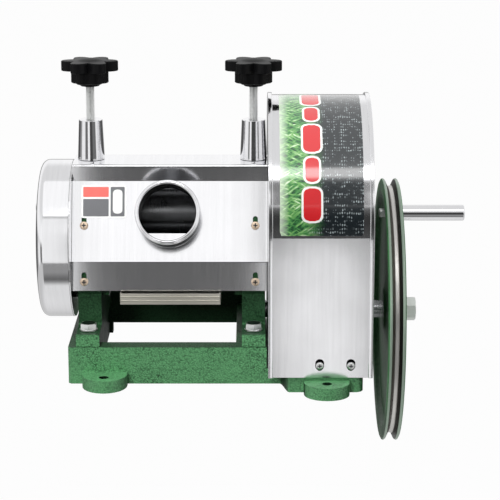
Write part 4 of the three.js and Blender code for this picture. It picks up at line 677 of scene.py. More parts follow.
def stack(rings: Sequence[Sequence[Point]], frame: Matrix, closed: bool = False) -> Shape:
    """Skins a stack of rings with quads.

    Args:
        rings: lists of points in the frame; a ring of one point is a pole.
        frame: matrix from the local frame to the part's frame.
        closed: whether the last ring joins the first.

    Returns:
        The shape.
    """
    made = bmesh.new()
    verts = [[made.verts.new(frame @ Vector(p)) for p in points] for points in rings]
    for low, high in zip(verts, verts[1:] + verts[:1] if closed else verts[1:]):
        count = max(len(low), len(high))
        if count == 1:
            continue
        for k in range(count):
            n = (k + 1) % count
            if len(low) == 1:
                made.faces.new([low[0], high[n], high[k]])
            elif len(high) == 1:
                made.faces.new([low[k], low[n], high[0]])
            else:
                made.faces.new([low[k], low[n], high[n], high[k]])
    bmesh.ops.recalc_face_normals(made, faces=made.faces)
    return made


def lathe(profile: Sequence[Pair], frame: Matrix, steps: int = 96) -> Shape:
    """Turns a profile about the third axis of a frame.

    Args:
        profile: pairs of radius and place along the axis; it closes on itself if its ends meet.
        frame: where the axis stands.
        steps: segments round the axis.

    Returns:
        The shape.
    """
    nothing = 1e-6
    closed = (Vector(profile[0]) - Vector(profile[-1])).length < nothing
    points = profile[:-1] if closed else profile
    rings = [[(0, 0, along)] if radius < nothing else ring(radius, along, steps) for radius, along in points]
    return stack(rings, frame, closed)


def round_sharp(shape: Shape, width: float, steps: int = 3) -> Shape:
    """Bevels the edges of a shape that turn by more than 30 degrees.

    Args:
        shape: what is bevelled, in place.
        width: width of the bevel; 0 leaves the shape as it is.
        steps: segments of the bevel.

    Returns:
        The same shape.
    """
    limit = math.radians(30)
    sharp = [e for e in shape.edges if len(e.link_faces) == 2 and e.calc_face_angle(0) > limit]
    if sharp and width > 0:
        bmesh.ops.bevel(shape, geom=sharp, offset=width, segments=steps, profile=0.5, affect="EDGES",
                        clamp_overlap=True)
    return shape


def prism(outline: Sequence[Pair], low: float, high: float, frame: Matrix, bevel: float = 0.0) -> Shape:
    """Extrudes an outline along the third axis of a frame.

    Args:
        outline: the outline's corners.
        low: start along the axis.
        high: end along the axis.
        frame: where it stands.
        bevel: width of the bevel on its edges.

    Returns:
        The shape.
    """
    made = bmesh.new()
    rings = [[made.verts.new(frame @ Vector((a, b, level))) for a, b in outline] for level in (low, high)]
    made.faces.new(rings[0])
    made.faces.new(rings[1])
    count = len(outline)
    for k in range(count):
        n = (k + 1) % count
        made.faces.new([rings[0][k], rings[0][n], rings[1][n], rings[1][k]])
    bmesh.ops.recalc_face_normals(made, faces=made.faces)
    return round_sharp(made, bevel)


def mesh_of(name: str, shape: Shape) -> bpy.types.Mesh:
    """Turns a shape into a mesh.

    Args:
        name: name of the mesh.
        shape: the shape; it is freed.

    Returns:
        The mesh.
    """
    mesh = bpy.data.meshes.new(name)
    shape.to_mesh(mesh)
    shape.free()
    return mesh


def put(name: str, data: bpy.types.ID) -> bpy.types.Object:
    """Adds an object to the scene.

    Args:
        name: name of the object.
        data: its mesh, lamp or camera.

    Returns:
        The object.
    """
    made = bpy.data.objects.new(name, data)
    bpy.context.scene.collection.objects.link(made)
    return made


def carve(shape: Shape, cutters: Sequence[Shape]) -> Shape:
    """Cuts shapes out of a shape.

    Args:
        shape: what is cut; it is freed.
        cutters: what is taken away; they are freed.

    Returns:
        A new shape.
    """
    objects = [put("carve", mesh_of("carve", item)) for item in (shape, *cutters)]
    for tool in objects[1:]:
        step = objects[0].modifiers.new("cut", "BOOLEAN")
        step.operation, step.solver, step.object = "DIFFERENCE", "EXACT", tool
    bpy.context.view_layer.update()
    graph = bpy.context.evaluated_depsgraph_get()
    made = bmesh.new()
    made.from_mesh(objects[0].evaluated_get(graph).data)
    for item in objects:
        mesh = item.data
        bpy.data.objects.remove(item)
        bpy.data.meshes.remove(mesh)
    return made


def join(first: Shape, *others: Shape) -> Shape:
    """Puts several shapes into the first one; the others are freed.

    Args:
        first: the shape that takes them in.
        others: the other shapes.

    Returns:
        The first shape.
    """
    for other in others:
        mesh = mesh_of("join", other)
        first.from_mesh(mesh)
        bpy.data.meshes.remove(mesh)
    return first


class Workshop:
    """Turns shapes into pieces that ride on the frame's bodies."""

    def __init__(self, frame: dict) -> None:
        """Keeps the frame's nodes and the body that each belongs to.
        """
        self.nodes = frame["nodes"]
        self.body_of = {n: b for b, ns in frame["record"]["behaviour"]["bodies"].items() for n in ns}
        self.paints = Paintbox()

    def piece(self, name: str, shape: Shape, finish: Finish, body: str, stands_for: Sequence[str] = (),
              crisp: float = 32.0) -> None:
        """Makes a piece from a shape in millimetres.

        Args:
            name: name of the piece.
            shape: its shape; it is freed.
            finish: its material.
            body: CAD body that it rides on.
            stands_for: CAD nodes that it replaces.
            crisp: angle in degrees over which an edge stays crisp.
        """
        bmesh.ops.scale(shape, vec=(MM, MM, MM), verts=shape.verts)
        limit = math.radians(crisp)
        for face in shape.faces:
            face.smooth = True
        for edge in shape.edges:
            if len(edge.link_faces) == 2:
                edge.smooth = edge.calc_face_angle(0) < limit
        made = put(name, mesh_of(name, shape))
        made.data.materials.append(self.paints.of(finish))
        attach(made, body)
        if stands_for:
            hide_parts(*stands_for)
        even = made.modifiers.new("flat faces", "WEIGHTED_NORMAL")
        even.keep_sharp = True
        LOG.info("piece %s, %s, on %s", name, finish.name, body)

    def skin(self, name: str, shape: Shape, finish: Finish, crisp: float = 32.0) -> None:
        """Makes the piece that stands for the CAD node of that name, on the node's body."""
        self.piece(name + "_skin", shape, finish, self.body_of[name], (name,), crisp)

    def solid_of(self, name: str) -> Shape:
        """A copy of a CAD node in millimetres, with its flat faces whole.

        Args:
            name: name of the CAD node.

        Returns:
            The shape.
        """
        weld = 0.002
        flat = math.radians(1.2)
        made = bmesh.new()
        made.from_mesh(self.nodes[name].data)
        bmesh.ops.scale(made, vec=(1 / MM,) * 3, verts=made.verts)
        bmesh.ops.remove_doubles(made, verts=made.verts, dist=weld)
        bmesh.ops.dissolve_limit(made, angle_limit=flat, verts=made.verts, edges=made.edges)
        bmesh.ops.recalc_face_normals(made, faces=made.faces)
        return made

    def refined(self, name: str, finish: Finish, bevel: float, steps: int = 2) -> None:
        """Replaces a CAD node by its own shape with rounded edges and smooth turned faces."""
        self.skin(name, round_sharp(self.solid_of(name), bevel, steps), finish)

    def refinish(self, finish: Finish, *names: str) -> None:
        """Gives CAD nodes whose shape stays a finished material.

        Args:
            finish: the finish.
            names: names of the CAD nodes.
        """
        for name in names:
            data = self.nodes[name].data
            data.materials.clear()
            data.materials.append(self.paints.of(finish))
            LOG.info("piece %s, %s, as in the frame", name, finish.name)


class Assembly(Protocol):
    """What every sub-assembly can do."""

    def build(self) -> None:
        """Makes and finishes its pieces."""


def bar(radius: float, low: float, high: float) -> list[Pair]:
    """Profile of a plain round bar."""
    return [(0, low), (radius, low), (radius, high), (0, high)]


def pipe(inner: float, outer: float, low: float, high: float) -> list[Pair]:
    """Closed profile of a plain pipe."""
    return [(inner, low), (outer, low), (outer, high), (inner, high), (inner, low)]


def oval(radius: float, top: float, low: float, steps: int) -> list[Pair]:
    """Outline of an upright slot with round ends, whose centres lie at two heights."""
    return arc(0, top, radius, 0, HALF, steps) + arc(0, low, radius, HALF, TURN, steps)


@dataclass(frozen=True)
class PanScrew:
    """Pan head screw with a cross recess; its head stands on the plane of the frame it is given."""

    head: float
    height: float
    shank: float
    length: float
    mark: float = 0.0  # radius that the painted shade at the bottom of the recess is drawn for

    @staticmethod
    def _arm(wide: float, tall: float, low: float, high: float, frame: Matrix) -> Shape:
        """A block about the screw's axis; wide and tall are half its width and its height."""
        return prism([(-wide, -tall), (wide, -tall), (wide, tall), (-wide, tall)], low, high, frame)

    def shape(self, frame: Matrix) -> Shape:
        """The screw with its recess cut.

        Args:
            frame: where it stands.

        Returns:
            The shape.
        """
        head, height, edge = self.head, self.height, 0.3
        shoulder, crown = height * 0.4, head * 0.45
        squash = height / (shoulder + crown)
        dome = [(head - edge, 0), (head, edge), (head, shoulder),
                *arc(head * 0.55, shoulder, crown, 0.2, QUARTER, 6), (0, shoulder + crown)]
        foot = [(0, -self.length), (self.shank, -self.length), (self.shank, 0)]
        blank = lathe(foot + [(r, a * squash) for r, a in dome], frame, 40)
        long, thin = head * 0.52, head * 0.15
        return carve(blank, [self._arm(wide, tall, height * 0.3, height + 1, frame)
                             for wide, tall in ((long, thin), (thin, long))])

    def recess(self, frame: Matrix) -> Shape:
        """The painted shade at the bottom of the cross recess.

        Args:
            frame: where the screw stands.

        Returns:
            The shape.
        """
        long, thin, height = self.mark * 0.5, self.mark * 0.13, self.height
        made = join(self._arm(long, thin, height * 0.2, height * 0.62, frame),
                    self._arm(thin, long, height * 0.2, height * 0.6, frame))
        bmesh.ops.recalc_face_normals(made, faces=made.faces)
        return made


@dataclass(frozen=True)
class Hexagon:
    """Hexagon nut or head with chamfered corners."""

    flats: float  # size across the flats
    bore: float = 0.0
    both: bool = True  # whether both ends are chamfered

    def _reach(self, angle: float) -> float:
        """How far the hexagon reaches at an angle."""
        turn = (angle + math.pi / 6) % (math.pi / 3) - math.pi / 6
        return self.flats / 2 / math.cos(turn)

    def _ring(self, height: float, most: float) -> list[Point]:
        """The hexagon's outline at a height, cut off beyond a radius."""
        return ring(lambda angle: min(self._reach(angle), most), height, 72)

    def _end(self, end: float, sign: int) -> list[list[Point]]:
        """Rings of one chamfered end.

        Args:
            end: where its face lies.
            sign: which way the solid lies from it.

        Returns:
            The rings, from the face inwards.
        """
        half, corner = self.flats / 2, self.flats / math.sqrt(3)
        spare = corner - half
        drop = spare * 0.6
        levels = ((half - 0.5, 0.0), (half + 0.15, 0.12), (half + spare * 0.5, drop * 0.5), (corner, drop))
        return [self._ring(end + sign * lift, most) for most, lift in levels]

    def shape(self, low: float, high: float, frame: Matrix) -> Shape:
        """The nut or head.

        Args:
            low: start along the frame's third axis.
            high: end along it.
            frame: where it stands.

        Returns:
            The shape.
        """
        lower = self._end(low, 1) if self.both else [self._ring(low, self.flats / math.sqrt(3))]
        rings = lower + self._end(high, -1)[::-1]
        if self.bore:
            return stack(rings + [ring(self.bore, high, 72), ring(self.bore, low, 72)], frame, True)
        return stack([[(0, 0, low)], *rings, [(0, 0, high)]], frame)


@dataclass(frozen=True)
class CoverForm:
    """Folded sheet cover over the rollers, and the places of what is set in it."""

    left: float = -203.0
    right: float = 15.5
    sheet: float = 1.2
    fold: float = 2.2  # inner radius of a fold
    # its outer corners as y, z, from the front edge over the top to the rear edge
    line: tuple[Pair, ...] = ((-66, 97.3), (-66, 130.4), (-35, 216.7), (-35, 235), (24, 235), (58, 182))
    tube_x: float = -94.6  # where the feed tube's axis meets the sloped face, across
    tube_height: float = 178.3  # the same, up
    tube_radius: float = 34.0
    screw_x: Pair = (-189.5, 2.0)  # where its screws stand
    screw_high: float = 169.0  # height of the screws in the sloped face
    screw_low: float = 108.0  # height of the screws in the upright band

    @property
    def slope(self) -> float:
        """Angle of the sloped face from upright, in radians."""
        low, high = self.line[1], self.line[2]
        return math.atan2(high[0] - low[0], high[1] - low[1])

    def on_slope(self, x: float, height: float, out: float = 0.0) -> Matrix:
        """Frame on the sloped face.

        Args:
            x: place across.
            height: place up.
            out: how far it stands off the face.

        Returns:
            The frame, pointing away from the face.
        """
        y, z = self.line[2]
        frame = outward(x, y - (z - height) * math.tan(self.slope), height, self.slope)
        return frame @ Matrix.Translation((0, 0, out))

    def on_band(self, x: float, height: float, out: float = 0.0) -> Matrix:
        """Frame on the lower upright band, pointing away from it."""
        return outward(x, self.line[0][0] - out, height, 0.0)


@dataclass(frozen=True)
class Castings:
    """Sand cast base and cheeks under hammered enamel, with painted shade lining the bolt holes."""

    shop: Workshop
    base_edge: float = 1.3
    cheek_edge: float = 1.0
    lugs: tuple[Pair, ...] = ((-165, -123), (-188, 123), (80, -146), (80, 146))  # x, y of the bolt holes
    bore: float = 5.15  # inner radius of a hole's liner of painted shade
    wall: float = 5.48
    foot: float = 0.5  # where it starts, above the bench
    top: float = 13.7

    def hole_shade_liner(self, place: Pair) -> Shape:
        """Thin liner of painted shade in one bolt hole."""
        return lathe(pipe(self.bore, self.wall, self.foot, self.top), along_z(*place), 48)

    def build(self) -> None:
        """Dresses the castings and lines the holes with painted shade."""
        self.shop.refined("base_casting", ENAMEL, self.base_edge)
        self.shop.refined("left_cheek", ENAMEL, self.cheek_edge)
        self.shop.refined("right_cheek", ENAMEL, self.cheek_edge)
        for number, place in enumerate(self.lugs, 1):
            self.shop.piece(f"lug_hole_shade_{number}", self.hole_shade_liner(place), HOLE_SHADE, "frame")


@dataclass(frozen=True)
class RollerCover:
    """Press-braked stainless sheet with its slots and holes."""

    shop: Workshop
    form: CoverForm
    tube_play: float = 0.3  # gap round the feed tube
    tube_cut: Pair = (-9, 6)  # how far the tube's hole is cut, in and out
    post_hole: float = 9.6
    post_cut: Pair = (228, 240)  # heights that they are cut between
    slot: float = 2.8  # half the width of a screw slot
    slot_top: float = 8.0  # centre of its upper end, above the screw
    slot_foot: float = -1.0  # centre of its lower end
    slot_cut: Pair = (-3.5, 3.5)  # how far it is cut, in and out

    def sheet(self) -> Shape:
        """The folded sheet, still whole.

        Returns:
            The shape.
        """
        form = self.form
        outer = rounded(form.line, form.fold + form.sheet, 6)
        inner = offset_line(outer, form.sheet)
        return prism(outer + inner[::-1], form.left, form.right, along_x(0, 0))

    def cutters(self) -> list[Shape]:
        """What is cut out: the tube's hole, the posts' holes and the screws' slots.

        Returns:
            The shapes that are taken away.
        """
        form = self.form
        tube = form.on_slope(form.tube_x, form.tube_height)
        made = [lathe(bar(form.tube_radius + self.tube_play, *self.tube_cut), tube, 72)]
        made += [lathe(bar(self.post_hole, *self.post_cut), along_z(x, 0), 48) for x in CHEEKS.values()]
        outline = oval(self.slot, self.slot_top, self.slot_foot, 10)
        for x in form.screw_x:
            for place in (form.on_slope(x, form.screw_high), form.on_band(x, form.screw_low)):
                made.append(prism(outline, *self.slot_cut, place))
        return made

    def build(self) -> None:
        """Makes the sheet."""
        sheet = carve(self.sheet(), self.cutters())
        self.shop.piece("roller_cover_sheet", sheet, BRIGHT_SHEET, "frame", ("roller_cover",))


@dataclass(frozen=True)
class FeedTube:
    """Stainless tube, square to the sloped face, with a wired edge at its mouth and a weld at its root."""

    shop: Workshop
    form: CoverForm
    wall: float = 1.5
    length: float = 45.0
    tail: float = 3.0  # how far it goes in behind the face
    wall_end: float = 5.2  # where the plain wall ends, behind the mouth
    rim: float = 36.0
    rim_back: float = 4.6  # where the wired edge starts, behind the mouth
    bead: float = 1.5
    bead_back: float = 2.5  # centre of the bead, behind the mouth
    # bottom of the crease inside the bead: how far in from the rim, and behind the mouth
    valley: Pair = (2.3, 1.6)
    lip: float = 1.7
    lip_out: float = 0.5  # centre of the lip, out from the bore
    sill_drop: float = 18.3  # how far under the axis the sill's upper edge lies
    sill_play: float = 0.2  # gap round the sill
    sill: float = 1.2
    weld: Pair = (0.9, 0.8)  # half width and half height of the weld bead
    weld_place: Pair = (0.05, 0.3)  # centre of the bead, off the tube and off the face

    @property
    def bore(self) -> float:
        """Inner radius of the tube."""
        return self.form.tube_radius - self.wall

    def rim_profile(self) -> list[Pair]:
        """Closed profile of the wired edge.

        Returns:
            Pairs of radius and place along the tube.
        """
        end, outer, back = self.length, self.form.tube_radius, self.length - self.rim_back
        crease_in, crease_back = self.valley
        bead = arc(self.rim - self.bead, end - self.bead_back, self.bead, -QUARTER, math.pi * 0.62, 8)
        lip = arc(self.bore + self.lip_out, end - self.lip, self.lip, math.pi * 0.3, HALF, 8)
        inside = self.bore + self.lip_out - self.lip
        return [(outer, back), *bead, (self.rim - crease_in, end - crease_back), *lip, (inside, back),
                (outer, back)]

    def sill_outline(self) -> list[Pair]:
        """Segment of a circle that fits the foot of the tube's bore.

        Returns:
            The outline across the tube.
        """
        reach = self.bore - self.sill_play
        half = math.acos(self.sill_drop / reach)
        return arc(0, 0, reach, -QUARTER - half, -QUARTER + half, 24)

    def weld_profile(self) -> list[Pair]:
        """Closed profile of the weld bead.

        Returns:
            Pairs of radius and place along the tube.
        """
        (wide, tall), (off, up) = self.weld, self.weld_place
        centre = self.form.tube_radius + off
        angles = [TURN * k / 10 for k in range(10)]
        made = [(centre + wide * math.cos(t), up + tall * math.sin(t)) for t in angles]
        return made + made[:1]

    def build(self) -> None:
        """Makes the tube, its rim, its sill and its weld."""
        frame = self.form.on_slope(self.form.tube_x, self.form.tube_height)
        wall = pipe(self.bore, self.form.tube_radius, -self.tail, self.length - self.wall_end)
        # the wall's dark steel is painted shade, inside the tube and under it
        self.shop.piece("feed_tube_wall", lathe(wall, frame, 128), TUBE_SHADE_STEEL, "frame", ("feed_tube",))
        self.shop.piece("feed_tube_rim", lathe(self.rim_profile(), frame, 128), CHROME, "frame")
        sill = prism(self.sill_outline(), -self.tail, self.sill - self.tail, frame, 0.2)
        self.shop.piece("feed_tube_sill", sill, BRIGHT_SHEET, "frame")
        self.shop.piece("feed_tube_weld", lathe(self.weld_profile(), frame, 128), TURNED_STEEL, "frame")


@dataclass(frozen=True)
class CoverScrews:
    """Four yellow passivated screws in the cover's slots."""

    shop: Workshop
    form: CoverForm
    screw: PanScrew = PanScrew(4.7, 3.0, 2.5, 12, 4.7)
    lift: float = 0.3  # how far its head stands off the sheet

    def build(self) -> None:
        """Makes the screws and the painted shade at the bottoms of their recesses."""
        form, number = self.form, 1
        for x in form.screw_x:
            for place in (form.on_slope(x, form.screw_high, self.lift),
                          form.on_band(x, form.screw_low, self.lift)):
                name = f"cover_screw_{number}"
                self.shop.skin(name, self.screw.shape(place), BRASS)
                self.shop.piece(name + "_recess", self.screw.recess(place), RECESS_SHADE, "frame")
                number += 1


@dataclass(frozen=True)
class Post:
    """Chromed tapered post that a lift screw runs through."""

    bore: float = 5.4
    bore_edge: float = 0.8
    spigot: float = 9.0
    spigot_foot: float = 209.3  # where that part starts
    seat: float = 235.3  # where the post stands on the cover
    foot: float = 15.1
    foot_edge: float = 0.3  # how far the foot's edge stands proud of it
    foot_top: Pair = (15.38, 1.6)  # radius and lift of the foot's upper edge
    taper_foot: float = 2.2  # where the taper starts, over the seat
    head: float = 13.0
    top: float = 280.5

    def profile(self) -> list[Pair]:
        """Closed profile of the post.

        Returns:
            Pairs of radius and height.
        """
        radius, lift = self.foot_top
        return [(self.bore, self.spigot_foot), (self.spigot, self.spigot_foot), (self.spigot, self.seat),
                (self.foot, self.seat), (self.foot + self.foot_edge, self.seat + self.foot_edge),
                (radius, self.seat + lift), (self.foot, self.seat + self.taper_foot),
                (self.head + 0.3, self.top - 0.9), (self.head, self.top - 0.3), (self.head - 0.6, self.top),
                (self.bore + self.bore_edge, self.top), (self.bore, self.top - self.bore_edge),
                (self.bore, self.spigot_foot)]


@dataclass(frozen=True)
class StarKnob:
    """Moulded star knob."""

    collar: float = 11.0
    foot: float = 318.7
    hub_foot: float = 321.9
    hub: Pair = (21.1, 17.6)  # reach and valley of the hub's lobes
    hub_edge: Pair = (20.4, 17.0)  # reach and valley at the hub's lower edge
    star_foot: float = 335.7
    star: Pair = (32.0, 20.6)  # reach and valley of its lobes
    star_top: float = 347.2
    crown: float = 349.6
    lobes: int = 6
    sides: int = 120  # points in a ring
    fullness: float = 0.62  # how round a lobe is; lower is fuller

    def _lobed(self, size: Pair, inset: float, height: float) -> list[Point]:
        """A ring with the knob's lobes.

        Args:
            size: reach and valley of the lobes.
            inset: how far the ring lies inside them.
            height: where it lies.

        Returns:
            The ring.
        """
        reach, valley = size

        def radius(angle: float) -> float:
            """Radius of the ring at an angle."""
            swell = (1 + math.cos(self.lobes * angle)) / 2
            return valley + (reach - valley) * swell ** self.fullness - inset

        return ring(radius, height, self.sides)

    def rings(self) -> list[list[Point]]:
        """The knob as rings about its own axis.

        Returns:
            The rings, from its foot to its crown.
        """
        edge = 0.6
        collar = ((self.collar - edge, self.foot), (self.collar, self.foot + edge),
                  (self.collar, self.hub_foot))
        dome = ((15.5, self.star_top + 0.1), (13.0, self.star_top + 0.9), (9.0, self.crown - 0.5),
                (4.5, self.crown - 0.05))
        made = [[(0, 0, self.foot)]] + [ring(radius, height, self.sides) for radius, height in collar]
        made += [self._lobed(self.hub_edge, 0.7, self.hub_foot),
                 self._lobed(self.hub, 0.0, self.hub_foot + 0.9), self._lobed(self.hub, 0.0, self.star_foot)]
        made += [self._lobed(self.star, inset, self.star_foot + lift)
                 for inset, lift in ((0.9, 0.0), (0.25, 0.3), (0.0, 1.0))]
        made += [self._lobed(self.star, inset, self.star_top - drop)
                 for inset, drop in ((0.0, 1.2), (0.3, 0.4), (1.1, 0.0))]
        made += [ring(radius, height, self.sides) for radius, height in dome]
        return made + [[(0, 0, self.crown)]]


@dataclass(frozen=True)
class LiftScrew:
    """Screw with a rolled thread and a foot disc that presses on a bearing block."""

    disc: float = 8.0
    foot: float = 188.2  # where it starts
    disc_top: float = 190.4
    radius: float = 5.0
    root: float = 4.15  # radius at the thread's root
    plain_top: float = 272.0
    thread_foot: float = 272.5
    thread_top: float = 336.0
    pitch: float = 1.5
    full: float = 0.8  # how full the thread's flank is; lower is fuller
    sides: int = 28  # points in a ring
    rings_per_turn: int = 8

    def _thread(self, turns: float) -> list[Point]:
        """One ring of the thread.

        Args:
            turns: how many turns up the thread it lies.

        Returns:
            The ring.
        """
        def radius(angle: float) -> float:
            """Radius of the thread at an angle."""
            phase = (turns - angle / TURN) % 1.0
            return self.root + (self.radius - self.root) * abs(2 * phase - 1) ** self.full

        return ring(radius, self.thread_foot + turns * self.pitch, self.sides)

    def rings(self) -> list[list[Point]]:
        """The screw as rings about its own axis.

        Returns:
            The rings, from its foot to its tip.
        """
        plain = ((self.disc, self.foot), (self.disc, self.disc_top), (self.radius, self.disc_top),
                 (self.radius, self.plain_top))
        made = [[(0, 0, self.foot)]] + [ring(radius, height, self.sides) for radius, height in plain]
        count = int((self.thread_top - self.thread_foot) / self.pitch * self.rings_per_turn)
        made += [self._thread(i / self.rings_per_turn) for i in range(count)]
        tip = self.thread_top + 0.4
        return made + [ring(self.root, tip, self.sides), [(0, 0, tip)]]


@dataclass(frozen=True)
class PostsAndKnobs:
    """Chromed posts, threaded lift screws and their star knobs."""

    shop: Workshop
    post: Post = Post()
    knob: StarKnob = StarKnob()
    screw: LiftScrew = LiftScrew()

    def build(self) -> None:
        """Makes both sets, left and right."""
        for side, x in CHEEKS.items():
            place = along_z(x, 0)
            self.shop.skin(f"post_{side}", lathe(self.post.profile(), place, 96), CHROME)
            self.shop.skin(f"knob_{side}", stack(self.knob.rings(), place), PHENOLIC, 40)
            self.shop.skin(f"lift_screw_{side}", stack(self.screw.rings(), place), ZINC, 60)


@dataclass(frozen=True)
class Rollers:
    """Turned stainless rollers with their journals and the stubs that carry the gears."""

    shop: Workshop
    radius: float = 27.0
    left: float = -170.5
    right: float = -13.5
    edge: float = 1.4
    journal: float = 14.0
    stub: float = 12.0
    stub_edge: float = 0.8
    left_shoulder: float = -205.8  # where the left journal ends
    right_shoulder: float = 29.0  # where the top roller's right journal ends

    def profile(self, low: float, high: float, driven: bool) -> list[Pair]:
        """Profile of a roller.

        Args:
            low: its left end.
            high: its right end.
            driven: whether it carries the drive gear on a stub at its right end.

        Returns:
            Pairs of radius and x.
        """
        end = [(self.journal, high), (0, high)]
        if driven:
            end = [(self.journal, self.right_shoulder), (self.stub, self.right_shoulder), (self.stub, high),
                   (0, high)]
        return [(0, low), (self.stub - self.stub_edge, low), (self.stub, low + self.stub_edge),
                (self.stub, self.left_shoulder), (self.journal, self.left_shoulder),
                (self.journal, self.left), (self.radius - self.edge, self.left),
                (self.radius, self.left + self.edge),
                (self.radius, self.right - self.edge), (self.radius - self.edge, self.right),
                (self.journal, self.right), *end]

    def build(self) -> None:
        """Makes the top roller and the two below it."""
        for name, y, z in (("top_roller", 0.0, TOP_AXIS), ("front_roller", -LOW_REACH, LOW_AXIS),
                           ("rear_roller", LOW_REACH, LOW_AXIS)):
            profile = self.profile(*reach_x(name), name == "top_roller")
            self.shop.skin(name, lathe(profile, along_x(y, z), 128), SHADED_ROLLER_STEEL)


@dataclass(frozen=True)
class GearCup:
    """Cup drawn from stainless sheet, over the roller gears, and the plate behind it."""

    shop: Workshop
    axis: float = 142.8  # height of its axis
    radius: float = 90.0
    sheet: float = 1.2
    rim: float = -204.8  # x of its open rim
    fillet: float = 9.0  # outer radius where its face turns into its wall

    def shape(self) -> Shape:
        """The cup, turned with one wall thickness throughout.

        Returns:
            The shape.
        """
        face, _ = reach_x("gear_cup")
        a, b = self.radius - self.fillet, face + self.fillet
        outer = [(self.radius, self.rim), *arc(a, b, self.fillet, 0, -QUARTER, 12), (0, face)]
        inner = [(0, face + self.sheet), *arc(a, b, self.fillet - self.sheet, -QUARTER, 0, 12),
                 (self.radius - self.sheet, self.rim), (self.radius, self.rim)]
        return lathe(outer + inner, along_x(0, self.axis), 160)

    def build(self) -> None:
        """Makes the cup and finishes its back plate."""
        self.shop.skin("gear_cup", self.shape(), ROLLED_SHEET)
        self.shop.refinish(SATIN_SHEET, "cup_back_plate")


@dataclass(frozen=True)
class GearCase:
    """Rolled barrel sheet, flat front plate and two flanged lids."""

    shop: Workshop
    plate_edge: float = 0.25
    lid_edge: float = 0.7
    lid_steps: int = 3

    def build(self) -> None:
        """Dresses the four sheets."""
        self.shop.refined("case_wrap", ROLLED_SHEET, 0.0)
        self.shop.refined("case_front_plate", SATIN_SHEET, self.plate_edge)
        self.shop.refined("case_inner_lid", BRIGHT_SHEET, self.lid_edge, self.lid_steps)
        self.shop.refined("case_outer_lid", BRIGHT_SHEET, self.lid_edge, self.lid_steps)


@dataclass(frozen=True)
class Patch:
    """A patch wrapped on the barrel, with round corners."""

    left: float
    right: float
    low: float  # its edges, in degrees above the horizontal through the barrel's axis
    high: float
    radius: float  # radius that it lies at
    corner: float
    columns: int = 8
    rows: int = 28

    def _inset(self, edge: float) -> float:
        """How far the sides draw in for the round corners.

        Args:
            edge: distance from the nearer end.

        Returns:
            The distance that each side draws in.
        """
        if edge >= self.corner:
            return 0.0
        return self.corner - math.sqrt(max(0.0, self.corner ** 2 - (self.corner - edge) ** 2))

    def shape(self) -> Shape:
        """The patch as an open sheet.

        Returns:
            The shape.
        """
        made = bmesh.new()
        length = math.radians(self.high - self.low) * self.radius
        grid = []
        for j in range(self.rows + 1):
            rise = length * j / self.rows
            inset = self._inset(min(rise, length - rise))
            angle = HALF - math.radians(self.low) - rise / self.radius
            y, z = self.radius * math.cos(angle), TOP_AXIS + self.radius * math.sin(angle)
            width = self.right - self.left - 2 * inset
            grid.append([made.verts.new((self.left + inset + width * i / self.columns, y, z))
                         for i in range(self.columns + 1)])
        for low, high in zip(grid, grid[1:]):
            for i in range(self.columns):
                made.faces.new([low[i], low[i + 1], high[i + 1], high[i]])
        return made


@dataclass(frozen=True)
class BarrelFilm:
    """Printed film on the barrel, with a column of red blocks in pale borders."""

    shop: Workshop
    film: Patch = Patch(28.2, 118.5, 2.2, 98.0, 135.15, 1.5, 24, 48)
    middle: float = 63.0  # x of the column's middle
    # lower and upper edges of the blocks, in degrees
    blocks: tuple[Pair, ...] = ((9, 24), (27, 39), (42, 58), (61, 72), (75, 92))
    half_widths: Pair = (9.5, 7.5)  # half the width of a wide and of a narrow block, in turn
    border: float = 2.2
    barrel: float = 135.0
    border_radius: float = 135.22  # radius that the borders lie at
    border_corner: float = 8.0
    block_radius: float = 135.29  # radius that the blocks lie at
    block_corner: float = 6.5

    def build(self) -> None:
        """Makes the film, then each border and block on it."""
        self.shop.piece("barrel_film", self.film.shape(), LEAF_PRINT, "frame")
        spare = math.degrees(self.border / self.barrel)
        for i, (low, high) in enumerate(self.blocks):
            half = self.half_widths[i % 2]
            border = Patch(self.middle - half - self.border, self.middle + half + self.border, low - spare,
                           high + spare, self.border_radius, self.border_corner)
            block = Patch(self.middle - half, self.middle + half, low, high, self.block_radius,
                          self.block_corner)
            self.shop.piece(f"barrel_block_edge_{i + 1}", border.shape(), PRINT_WHITE, "frame")
            self.shop.piece(f"barrel_block_{i + 1}", block.shape(), PRINT_RED, "frame")


@dataclass(frozen=True)
class Card:
    """A flat printed panel with round corners."""

    left: float  # its edges, from the middle of the plate
    right: float
    low: float
    high: float
    finish: Ink
    out: float = 0.06  # how far it stands off the plate's own plane
    corner: float = 1.0

    def shape(self, place: Matrix) -> Shape:
        """The panel as one face.

        Args:
            place: frame of the plate.

        Returns:
            The shape.
        """
        frame = place @ Matrix.Translation((0, 0, self.out))
        corners = [(self.left, self.low), (self.right, self.low), (self.right, self.high),
                   (self.left, self.high)]
        outline = rounded(corners, self.corner, 4, True)
        made = bmesh.new()
        made.faces.new([made.verts.new(frame @ Vector((a, b, 0))) for a, b in outline])
        return made


